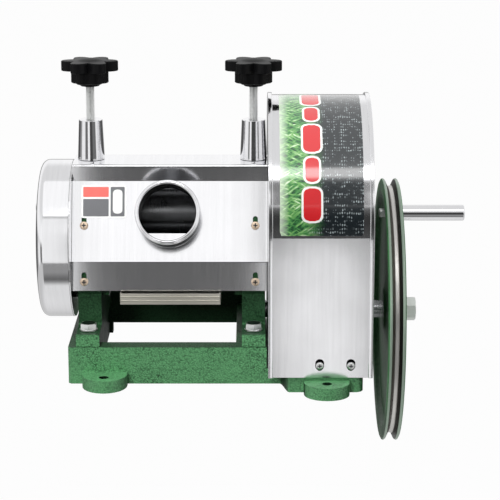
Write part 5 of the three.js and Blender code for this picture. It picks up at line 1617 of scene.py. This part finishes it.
@dataclass(frozen=True)
class CoverPlate:
    """A printed plate of coloured panels on the sloped face of the cover."""

    shop: Workshop
    form: CoverForm
    x: float = -167.5  # where its middle stands, across
    height: float = 194.5  # the same, up
    out: float = 0.12  # how far it stands off the cover
    card: Card = Card(-25, 25, -18.5, 18.5, PLATE_WHITE, 0.0, 2.0)
    # what is printed on it
    panels: tuple[Card, ...] = (Card(-23.2, 5.4, 5.2, 16.6, PLATE_CORAL),
                                Card(-23.2, 5.4, -16.6, 3.0, PLATE_GREY),
                                Card(7.6, 23.2, -16.6, 16.6, PLATE_GREY),
                                Card(10.0, 20.8, -13.6, 13.6, PLATE_WHITE, 0.12, 5.0))

    def build(self) -> None:
        """Makes the card and its panels."""
        place = self.form.on_slope(self.x, self.height, self.out)
        self.shop.piece("cover_plate_card", self.card.shape(place), self.card.finish, "frame")
        for number, panel in enumerate(self.panels, 1):
            self.shop.piece(f"cover_plate_panel_{number}", panel.shape(place), panel.finish, "frame")


@dataclass(frozen=True)
class DriveShaft:
    """Drive shaft of turned stainless bar, which shows between the case and the wheel."""

    shop: Workshop
    radius: float = 10.0  # radius in the bushes
    seat: float = 9.0  # radius under the wheel
    seat_left: float = 149.2
    seat_right: float = 173.4
    thread_left: float = 173.6
    root: float = 7.2  # radius at the thread's root
    depth: float = 0.8
    step: float = 0.25  # distance between two points of its profile
    per_pitch: int = 6  # points in one pitch
    tip: float = 1.2  # how far before the end the thread stops
    tip_radius: float = 7.0

    def profile(self) -> list[Pair]:
        """Profile of the shaft with its thread as rings.

        Returns:
            Pairs of radius and x.
        """
        low, high = reach_x("drive_shaft")
        count = int((high - self.tip - self.thread_left) / self.step)
        thread = [(self.root + self.depth * abs(2 * ((k / self.per_pitch) % 1) - 1),
                   self.thread_left + k * self.step) for k in range(count)]
        return [(0, low), (self.radius, low), (self.radius, self.seat_left), (self.seat, self.seat_left),
                (self.seat, self.seat_right), *thread, (self.tip_radius, high), (0, high)]

    def build(self) -> None:
        """Makes the shaft."""
        self.shop.skin("drive_shaft", lathe(self.profile(), along_x(0, SHAFT_AXIS), 96), TURNED_STEEL)


@dataclass(frozen=True)
class HandWheel:
    """Cast wheel under enamel, with a double rim whose crests and groove are turned, and the end nut.

    Places are pairs of radius and x. The rim is given for its left half and mirrored about its middle.
    """

    shop: Workshop
    middle: float = 156.0  # x of the rim's middle
    # the hub, from its bore to the web, on the left
    hub_left: tuple[Pair, ...] = ((9.3, 149.5), (22.5, 149.5), (24, 150.4))
    # the web's left face, from the hub to the rim
    web_left: tuple[Pair, ...] = ((30, 151.6), (57.6, 153.5), (128, 153.5), (131, 152.6))
    # the rim, from the web over the crest to the groove
    rim: tuple[Pair, ...] = ((134, 148.2), (135.6, 146.9), (137, 146.5), (148.4, 146.5), (150.2, 147.6),
                             (150.6, 149.0), (149.0, 150.4), (142.3, 153.6), (142.0, 154.4))
    # the web's right face, from the rim to the hub
    web_right: tuple[Pair, ...] = ((131, 162.1), (128, 161.5), (34, 161.5), (29, 162.6))
    # the hub on the right, from the web to its bore
    hub_right: tuple[Pair, ...] = ((25.6, 165.6), (24, 169), (24, 173), (22.6, 174.5), (9.3, 174.5))
    spindle_hole: float = 5.3
    hole_cut: Pair = (140, 170)  # x that the hole is cut between
    # the turned crest
    crest: tuple[Pair, ...] = ((150.4, 147.6), (150.9, 148.3), (150.7, 149.3), (149.9, 150.2))
    # the turned wall of the groove
    wall: tuple[Pair, ...] = ((149.7, 150.4), (145.5, 152.3), (142.9, 153.5))
    # the turned root of the groove, up to the middle
    root: tuple[Pair, ...] = ((142.9, 153.5), (142.4, 154.3), (142.4, 156.0))
    proud: float = 0.08  # how far the turned bands stand off the paint
    nut: Hexagon = Hexagon(24.0, 8.2)
    segments: int = 192

    def _mirrored(self, points: Sequence[Pair]) -> list[Pair]:
        """Points on the other side of the rim's middle, in the same order."""
        return [(radius, 2 * self.middle - x) for radius, x in points]

    def casting(self) -> Shape:
        """The painted wheel with the spindle's hole.

        Returns:
            The shape.
        """
        profile = [*self.hub_left, *self.web_left, *self.rim, *self._mirrored(self.rim[::-1]),
                   *self.web_right, *self.hub_right, self.hub_left[0]]
        painted = lathe(profile, along_x(0, SHAFT_AXIS), self.segments)
        hole = lathe(bar(self.spindle_hole, *self.hole_cut), along_x(0, SHAFT_AXIS + HANDLE_THROW), 32)
        return carve(painted, [hole])

    def band(self, line: list[Pair], proud: float) -> Shape:
        """A thin turned ring that stands so far off a line, to the right of the way it runs."""
        profile = line + offset_line(line, proud)[::-1] + line[:1]
        return lathe(profile, along_x(0, SHAFT_AXIS), self.segments)

    def build(self) -> None:
        """Makes the wheel, its turned bands and its nut."""
        self.shop.piece("hand_wheel_body", self.casting(), WHEEL_ENAMEL, "crankshaft", ("hand_wheel",), 40)
        # the groove's walls are lit and shaded copies: painted light on the left wall, painted shade on the
        # right
        for part, line, left, right in (("crest", self.crest, RIM_CREST, RIM_CREST),
                                        ("wall", self.wall, RIM_LIT_WALL, RIM_SHADED_WALL),
                                        ("root", self.root, RIM_ROOT, RIM_ROOT)):
            self.shop.piece(f"wheel_{part}_left", self.band(list(line), self.proud), left, "crankshaft")
            self.shop.piece(f"wheel_{part}_right", self.band(self._mirrored(line), -self.proud), right,
                            "crankshaft")
        nut = self.nut.shape(*reach_x("wheel_nut"), along_x(0, SHAFT_AXIS))
        self.shop.skin("wheel_nut", nut, MATT_ZINC, 25)


@dataclass(frozen=True)
class Handle:
    """Bright plated sleeve that turns on a spindle far out on the wheel."""

    shop: Workshop
    bore: float = 5.35
    sleeve: float = 9.0
    sleeve_edge: float = 0.4  # how far its inner end is chamfered
    cup: float = 7.35
    cup_depth: float = 4.4
    spindle: float = 5.0
    collar: float = 7.5
    collar_left: float = 161.8
    collar_right: float = 163.4
    head: float = 7.0
    head_length: float = 3.6
    edge: float = 0.8  # chamfer of the spindle's ends

    def sleeve_profile(self) -> list[Pair]:
        """Closed profile of the sleeve.

        Returns:
            Pairs of radius and x.
        """
        low, high = reach_x("handle_sleeve")
        edge = self.sleeve - self.sleeve_edge
        floor = high - self.cup_depth
        return [(self.bore, low), (edge, low), (self.sleeve, low + self.sleeve_edge),
                (self.sleeve, high - 1.6), (edge, high - 0.6), (self.sleeve - 1.1, high), (self.cup, high),
                (self.cup, floor), (self.bore, floor), (self.bore, low)]

    def spindle_profile(self) -> list[Pair]:
        """Profile of the spindle.

        Returns:
            Pairs of radius and x.
        """
        low, high = reach_x("handle_spindle")
        neck = high - self.head_length
        return [(0, low), (self.spindle - self.edge, low), (self.spindle, low + self.edge),
                (self.spindle, self.collar_left), (self.collar, self.collar_left),
                (self.collar, self.collar_right), (self.spindle, self.collar_right), (self.spindle, neck),
                (self.head, neck), (self.head, high - self.edge), (self.head - self.edge, high), (0, high)]

    def build(self) -> None:
        """Makes the sleeve and its spindle."""
        frame = along_x(0, SHAFT_AXIS + HANDLE_THROW)
        self.shop.skin("handle_sleeve", lathe(self.sleeve_profile(), frame, 96), CHROME)
        self.shop.skin("handle_spindle", lathe(self.spindle_profile(), frame, 72), ZINC)


@dataclass(frozen=True)
class FootBolts:
    """Hexagon bolts with washers, which hold the cheeks' feet down."""

    shop: Workshop
    reach: float = 82.0  # how far in front of and behind the axis they stand
    seat: float = 56.6  # height that the washer lies at
    bore: float = 5.2  # inner radius of the washer
    washer: float = 10.0
    washer_edge: float = 0.4
    washer_top: float = 2.0
    head: Hexagon = Hexagon(17.0, 0.0, False)
    head_top: float = 8.3  # height of the head over the seat
    shank: float = 5.0
    shank_foot: float = 18.0  # where the shank ends in the casting
    shank_top: float = 3.0  # where it meets the head, over the seat
    face: Pair = (7.4, 8.0)  # radius and height over the seat of the lower edge of the disc of painted shade
    face_edge: Pair = (7.2, 8.36)  # the same for its upper edge

    def bolt(self, frame: Matrix) -> Shape:
        """The bolt with its washer.

        Args:
            frame: where it stands.

        Returns:
            The shape.
        """
        seat, top, inset = self.seat, self.seat + self.washer_top, self.washer - self.washer_edge
        washer = [(self.bore, seat), (inset, seat), (self.washer, seat + self.washer_edge),
                  (self.washer, top - self.washer_edge), (inset, top), (self.bore, top), (self.bore, seat)]
        return join(self.head.shape(top, seat + self.head_top, frame), lathe(washer, frame, 64),
                    lathe(bar(self.shank, self.shank_foot, seat + self.shank_top), frame, 48))

    def shaded_top_face(self, frame: Matrix) -> Shape:
        """The disc of painted shade on top of the head.

        Args:
            frame: where the bolt stands.

        Returns:
            The shape.
        """
        (wide, low), (narrow, high) = self.face, self.face_edge
        profile = [(0, self.seat + low), (wide, self.seat + low), (narrow, self.seat + high),
                   (0, self.seat + high)]
        return lathe(profile, frame, 48)

    def build(self) -> None:
        """Makes the four bolts."""
        places = [along_z(x, y) for x in CHEEKS.values() for y in (-self.reach, self.reach)]
        for number, place in enumerate(places, 1):
            self.shop.skin(f"foot_bolt_{number}", self.bolt(place), ZINC, 25)
            self.shop.piece(f"foot_bolt_{number}_face", self.shaded_top_face(place), BOLT_TOP_SHADE, "frame")


@dataclass(frozen=True)
class CaseScrews:
    """Pan head screws of the gear case, each with a black oval of painted shadow in its slot, two in front
    and two behind.
    """

    shop: Workshop
    screw: PanScrew = PanScrew(4.2, 3.6, 3.0, 8, 4.9)
    across: Pair = (72.2, 106.3)  # where they stand, across
    depth: float = -135.3  # y of the plane that the front ones stand on
    height: float = 31.7  # where they stand, up
    shadow_oval: float = 4.8  # half the width of an oval of painted shadow
    shadow_oval_top: float = 2.2  # centre of its upper end, above the screw
    shadow_oval_foot: float = -0.8  # centre of its lower end
    shadow_oval_sheet: Pair = (-0.25, -0.02)  # where the shadow oval lies, behind the screw's plane

    def build(self) -> None:
        """Makes each screw, the painted shade at the bottom of its recess and the painted shadow in its
        slot; the rear ones are mirrored.
        """
        outline = oval(self.shadow_oval, self.shadow_oval_top, self.shadow_oval_foot, 20)
        mirror = Matrix.Scale(-1, 4, (0, 1, 0))
        front = [outward(x, self.depth, self.height, 0.0) for x in self.across]
        frames = [frame for near in front for frame in (near, mirror @ near)]
        for number, frame in enumerate(frames, 1):
            name = f"case_screw_{number}"
            screw, shadow_oval = self.screw.shape(frame), prism(outline, *self.shadow_oval_sheet, frame)
            for shape in (screw, shadow_oval):
                bmesh.ops.recalc_face_normals(shape, faces=shape.faces)
            self.shop.skin(name, screw, ZINC)
            self.shop.piece(name + "_recess", self.screw.recess(frame), RECESS_SHADE, "frame")
            self.shop.piece(name + "_pad", shadow_oval, SLOT_SHADOW, "frame")


@dataclass(frozen=True)
class CupScrews:
    """Long screws through the face of the gear cup."""

    shop: Workshop
    places: tuple[Pair, ...] = ((-34, 186), (34, 186), (0, 80))  # y, z of the screws
    head: float = 5.2
    height: float = 3.4
    shank: float = 3.0

    def build(self) -> None:
        """Makes the three screws, which look to the left."""
        leftwards = Matrix.Rotation(HALF, 4, "X")
        for number, place in enumerate(self.places, 1):
            name = f"cup_screw_{number}"
            low, high = reach_x(name)
            frame = along_x(*place) @ Matrix.Translation((0, 0, low + self.height)) @ leftwards
            screw = PanScrew(self.head, self.height, self.shank, high - low - self.height)
            self.shop.skin(name, screw.shape(frame), ZINC)


@dataclass(frozen=True)
class InnerParts:
    """The juice tray with two stiffening beads, the chute, the bearing blocks, gears and bushes."""

    shop: Workshop
    tray_edge: float = 0.3
    chute_edge: float = 0.4
    iron_edge: float = 0.5
    beads: Pair = (3.4, 8.0)  # how far below the tray's edge the beads lie
    bead_left: float = -148.6
    bead_right: float = -37.4
    bead_in: float = 0.1  # how far they reach into the sheet
    bead_out: float = 0.6  # how far they stand off it
    bead_foot: float = 1.0  # half their width at the sheet
    bead_top: float = 0.5  # half their width at the top

    def bead(self, drop: float) -> Shape:
        """A bead pressed along the tray's front wall.

        Args:
            drop: how far below the tray's edge it lies.

        Returns:
            The shape.
        """
        low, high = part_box("juice_tray")
        y, z = low.y / MM, high.z / MM - drop
        outline = [(y + self.bead_in, z - self.bead_foot), (y - self.bead_out, z - self.bead_top),
                   (y - self.bead_out, z + self.bead_top), (y + self.bead_in, z + self.bead_foot)]
        return prism(outline, self.bead_left, self.bead_right, along_x(0, 0), 0.2)

    def build(self) -> None:
        """Dresses the sheet and iron parts inside the machine, most of them in shadow."""
        self.shop.refined("juice_tray", TRAY_SHEET, self.tray_edge)
        for number, drop in enumerate(self.beads, 1):
            self.shop.piece(f"tray_bead_{number}", self.bead(drop), TRAY_SHEET, "frame")
        self.shop.refined("discharge_chute", SATIN_SHEET, self.chute_edge)
        for name in ("turner_plate", "bearing_block_left", "bearing_block_right"):
            self.shop.refined(name, GREASED_IRON, self.iron_edge)
        self.shop.refinish(GREASED_IRON, "drive_gear", "drive_pinion", "top_roller_gear",
                           "front_roller_gear", "rear_roller_gear")
        self.shop.refinish(BRONZE, "left_front_bush", "left_rear_bush", "right_front_bush",
                           "right_rear_bush", "drive_bush_inner", "drive_bush_outer")


@dataclass(frozen=True)
class Lamp:
    """A soft square lamp; places are in metres."""

    name: str
    place: Point
    target: Point
    size: float  # width of its face
    watts: float

    def hang(self) -> None:
        """Adds the lamp to the scene; bright metal doesn't mirror it."""
        data = bpy.data.lights.new(self.name, "AREA")
        data.shape, data.size, data.energy = "SQUARE", self.size, self.watts
        lamp = put(self.name, data)
        lamp.location = self.place
        lamp.rotation_mode = "QUATERNION"
        lamp.rotation_quaternion = (Vector(self.target) - Vector(self.place)).to_track_quat("-Z", "Y")
        lamp.visible_glossy = False


@dataclass(frozen=True)
class Block:
    """A block of the set, which is not part of the object."""

    name: str
    low: Point
    high: Point
    bevel: float = 0.0

    def place(self, material: Material) -> bpy.types.Object:
        """Adds the block to the scene.

        Args:
            material: its material.

        Returns:
            The object.
        """
        (x0, y0, z0), (x1, y1, z1) = self.low, self.high
        shape = prism([(x0, y0), (x1, y0), (x1, y1), (x0, y1)], z0, z1, Matrix.Identity(4), self.bevel)
        bmesh.ops.scale(shape, vec=(MM, MM, MM), verts=shape.verts)
        made = put(self.name, mesh_of(self.name, shape))
        made.data.materials.append(material)
        return made


@dataclass(frozen=True)
class Reflector:
    """A glowing card in front or overhead, which only bright metal sees."""

    name: str
    across: Pair  # its left and right edges
    up: Pair  # its lower and upper edges
    level: float  # how bright it is
    depth: Pair = (-741, -737)  # y of its far and near faces

    def hang(self) -> None:
        """Adds the card to the scene."""
        material = blank(self.name)
        tree = material.node_tree
        tree.nodes.clear()
        glow = node(tree, "Emission", {"Color": grey(self.level), "Strength": 1.0})
        node(tree, "OutputMaterial", {"Surface": glow})
        (x0, x1), (z0, z1), (y0, y1) = self.across, self.up, self.depth
        card = Block(self.name, (x0, y0, z0), (x1, y1, z1)).place(material)
        card.visible_camera = False
        card.visible_diffuse = False
        card.visible_shadow = False


@dataclass(frozen=True)
class Room:
    """The studio as bright metal mirrors it: pale, with dark belts low in front and behind the camera.

    It is laid out by height in front, by bearing low down at the sides, and by height behind. Heights are in
    degrees above the horizon. Bearings run from -1, towards the camera, to 1, away from it.
    """

    peak: float = 5.0  # level of the brightest part
    ambient: float = 0.07  # level that lights the object from all round
    # rise between which the low sides give way to what is behind, from below
    low_edge: Pair = (-0.42, -0.34)
    high_edge: Pair = (-0.04, 0.08)  # rise between which they give way to it above
    front_edge: Pair = (0.955, 0.985)  # bearings between which the front begins

    @property
    def ahead(self) -> dict[str, Pair]:
        """What stands in front: the name of each place to its height and level."""
        return {
            "floor under the camera": (-90, 0.8), "floor in front": (-60, 0.78),
            "apron, near edge": (-54, 0.30), "apron": (-50, 0.13), "apron, far edge": (-44, 0.20),
            "low wall, foot": (-38, 0.30), "low wall, top": (-26, 0.30),
            "dark belt, foot": (-19, 0.16), "dark belt, lower part": (-14, 0.12), "dark belt": (-6, 0.07),
            "dark belt, middle": (2, 0.04), "dark belt, upper part": (10, 0.045),
            "dark belt, top": (17, 0.14),
            "pale screen, lower edge": (21, 0.97), "pale screen, lower part": (24, 1.16),
            "pale screen, upper part": (31, 1.14), "gap under the soft box": (34, 0.5),
            "gap, upper part": (42, 0.4), "frame of the soft box": (45, 1.0),
            "soft box, lower edge": (47.5, self.peak), "soft box, upper edge": (54.5, self.peak),
            "ceiling in front": (57.5, 0.85), "ceiling": (66, 0.8), "ceiling overhead": (90, 0.8),
        }

    @property
    def behind(self) -> dict[str, Pair]:
        """What stands behind: the name of each place to its height and level."""
        return {
            "floor below": (-90, 0.8), "floor behind": (-46, 0.6), "wall, foot": (0, 0.6),
            "bright wall, lower edge": (7, 1.02), "bright wall, upper edge": (24, 1.02),
            "ceiling, near the wall": (40, 0.8), "ceiling": (66, 0.8), "ceiling overhead": (90, 0.8),
        }

    @property
    def around(self) -> dict[str, Pair]:
        """What stands at the sides: the name of each place to its bearing and level."""
        return {
            "towards the camera": (-1, 0.34), "beside the camera": (-0.94, 0.3),
            "near flag, edge": (-0.8, 0.09), "near flag, far edge": (-0.36, 0.09),
            "wall, near": (-0.27, 0.3), "wall, square to the sides": (0.03, 0.34),
            "window, near edge": (0.12, 0.95), "window, far edge": (0.62, 0.95),
            "far flag, edge": (0.7, 0.17), "far flag, far edge": (0.9, 0.17),
            "far corner": (0.95, 0.24), "away from the camera": (1, 0.26),
        }

    @staticmethod
    def _at_height(degrees: float) -> float:
        """Where a height above the horizon lies on a ramp."""
        return (math.sin(math.radians(degrees)) + 1) / 2

    @staticmethod
    def _at_bearing(bearing: float) -> float:
        """Where a bearing lies on a ramp."""
        return (bearing + 1) / 2

    def _stops(self, places: dict[str, Pair], position: Callable[[float], float]) -> list[Stop]:
        """Turns places and levels into positions and colours on a ramp."""
        return [(position(place), grey(level / self.peak)) for place, level in places.values()]

    @staticmethod
    def _blend(tree: Tree, value: Feed, ends: Pair, first: Feed, second: Feed) -> Socket:
        """Goes from one colour to another while a value goes from one end to the other.

        Args:
            tree: node tree.
            value: the value.
            ends: where the change starts and ends.
            first: colour before it.
            second: colour after it.

        Returns:
            The colour output.
        """
        share = node(tree, "MapRange", {"Value": value, "From Min": ends[0], "From Max": ends[1]})
        mixed = node(tree, "Mix", {"Factor": share, "A": first, "B": second}, data_type="RGBA")
        return mixed.outputs["Result"]

    def build(self) -> None:
        """Makes the world; the camera itself sees plain white."""
        world = bpy.data.worlds.new("studio")
        world.use_nodes = True
        bpy.context.scene.world = world
        tree = world.node_tree
        tree.nodes.clear()
        split = node(tree, "SeparateXYZ", {0: node(tree, "TexCoord").outputs["Generated"]})
        across, depth, rise = split.outputs["X"], split.outputs["Y"], split.outputs["Z"]
        height = node(tree, "MapRange", {"Value": rise, "From Min": -1.0, "From Max": 1.0})
        level = node(tree, "CombineXYZ", {"X": across, "Y": depth})
        reach = node(tree, "VectorMath", {0: level}, operation="LENGTH").outputs["Value"]
        towards = node(tree, "Math", {0: depth, 1: reach}, operation="DIVIDE")
        bearing = node(tree, "MapRange", {"Value": towards, "From Min": 1.0, "From Max": -1.0})
        ahead, behind, around = (
            set_stops(node(tree, "ValToRGB", {"Fac": value}), self._stops(places, position))
            for value, places, position in ((height, self.ahead, self._at_height),
                                            (height, self.behind, self._at_height),
                                            (bearing, self.around, self._at_bearing)))
        low = self._blend(tree, rise, self.low_edge, behind, around)
        sides = self._blend(tree, rise, self.high_edge, low, behind)
        room = self._blend(tree, bearing, self.front_edge, sides, ahead)
        path = node(tree, "LightPath").outputs
        lit = self._blend(tree, path["Is Glossy Ray"], (0.0, 1.0), grey(self.ambient / self.peak), room)
        seen = self._blend(tree, path["Is Camera Ray"], (0.0, 1.0), lit, grey(1 / self.peak))
        shade = node(tree, "Background", {"Color": seen, "Strength": self.peak})
        node(tree, "OutputWorld", {"Surface": shade})


@dataclass(frozen=True)
class Studio:
    """Plain pale floor, soft light and the camera of the photograph."""

    floor: float = -95.0
    floor_reach: float = 6000.0
    floor_depth: float = 20.0
    # x, y of the low stand's near left and far right corners
    stand: tuple[Pair, Pair] = ((-214.0, -172.0), (126.0, 172.0))
    stand_top: float = -0.1  # its top, just under the part
    stand_edge: float = 4.0
    matt: float = 0.08  # how light the floor and the stand are where they light the part
    shown: float = 0.98  # how white they look
    pitch: float = 14.0  # how far the camera looks down, in degrees
    distance: float = 2240.0  # how far it stands from its target
    target: Point = (-4.0, 0.0, 128.0)
    sensor: float = 36.0
    zoom: float = 1950.0 / 500.0  # length of the lens, in widths of the sensor
    clip: Pair = (0.05, 60.0)  # nearest and farthest that it sees, in metres
    cards: tuple[Reflector, ...] = (Reflector("cup_card", (-520, -259), (-150, 760), 0.97),
                                    Reflector("cup_roof", (-520, -262), (900, 904), 1.1, (-760, 120)),
                                    Reflector("case_flag", (20, 172), (430, 800), 0.22),
                                    Reflector("plate_card", (20, 172), (-240, 34), 1.06))
    lamps: tuple[Lamp, ...] = (Lamp("key", (-0.45, -0.95, 2.65), (-0.05, 0.0, 0.12), 0.55, 68.0),
                               Lamp("fill", (-0.9, -2.5, 1.1), (0.0, 0.0, 0.1), 0.6, 44.0),
                               Lamp("back", (0.2, 1.5, 1.9), (0.0, 0.0, 0.15), 1.0, 14.0),
                               Lamp("right", (2.6, 0.0, 1.3), (0.1, 0.0, 0.1), 0.9, 26.0))

    def camera(self) -> None:
        """Sets the camera up at the photograph's angle, with a long lens."""
        pitch = math.radians(self.pitch)
        place = Vector(self.target) + Vector((0, -math.cos(pitch), math.sin(pitch))) * self.distance
        data = bpy.data.cameras.new("camera")
        data.sensor_width = self.sensor
        data.lens = self.zoom * self.sensor
        data.clip_start, data.clip_end = self.clip
        camera = put("camera", data)
        camera.location = place * MM
        camera.rotation_euler = (QUARTER - pitch, 0, 0)
        bpy.context.scene.camera = camera

    def pale(self, name: str) -> Material:
        """Pale matt surface that the camera and bright metal see as white, with its shadows kept.

        Args:
            name: name of the material.

        Returns:
            The material.
        """
        material = blank(name)
        tree = material.node_tree
        tree.nodes.clear()
        matt = node(tree, "BsdfDiffuse", {"Color": grey(self.matt)})
        glow = node(tree, "Emission", {"Color": grey(1.0), "Strength": 1.0})
        path = node(tree, "LightPath").outputs
        seen = node(tree, "Math", {0: path["Is Camera Ray"], 1: path["Is Glossy Ray"]}, operation="MAXIMUM")
        share = node(tree, "Math", {0: seen, 1: self.shown}, operation="MULTIPLY")
        mixed = node(tree, "MixShader", {0: share, 1: matt, 2: glow})
        node(tree, "OutputMaterial", {"Surface": mixed})
        return material

    def build(self) -> None:
        """Sets up the camera, the light, the floor and the low stand under the base."""
        self.camera()
        Room().build()
        reach, top = self.floor_reach, self.floor
        ground = Block("floor", (-reach, -reach, top - self.floor_depth), (reach, reach, top))
        ground.place(self.pale("pale_floor")).visible_glossy = False
        near, far = self.stand
        stand = Block("stand", (*near, top), (*far, self.stand_top), self.stand_edge)
        stand.place(self.pale("pale_stand")).visible_glossy = False
        for item in (*self.cards, *self.lamps):
            item.hang()
        bpy.context.scene.view_settings.view_transform = "Standard"


def main() -> None:
    """Loads the frame, builds the sub-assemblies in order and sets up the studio."""
    logging.basicConfig(level=logging.INFO)
    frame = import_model()
    shop, cover = Workshop(frame), CoverForm()
    assemblies: tuple[Assembly, ...] = (
        Castings(shop), RollerCover(shop, cover), FeedTube(shop, cover), CoverScrews(shop, cover),
        PostsAndKnobs(shop), Rollers(shop), GearCup(shop), GearCase(shop), BarrelFilm(shop),
        CoverPlate(shop, cover), DriveShaft(shop), HandWheel(shop), Handle(shop), FootBolts(shop),
        CaseScrews(shop), CupScrews(shop), InnerParts(shop))
    for assembly in assemblies:
        LOG.info("building %s", type(assembly).__name__)
        assembly.build()
    Studio().build()
    bpy.context.view_layer.update()


if __name__ == "__main__":
    main()
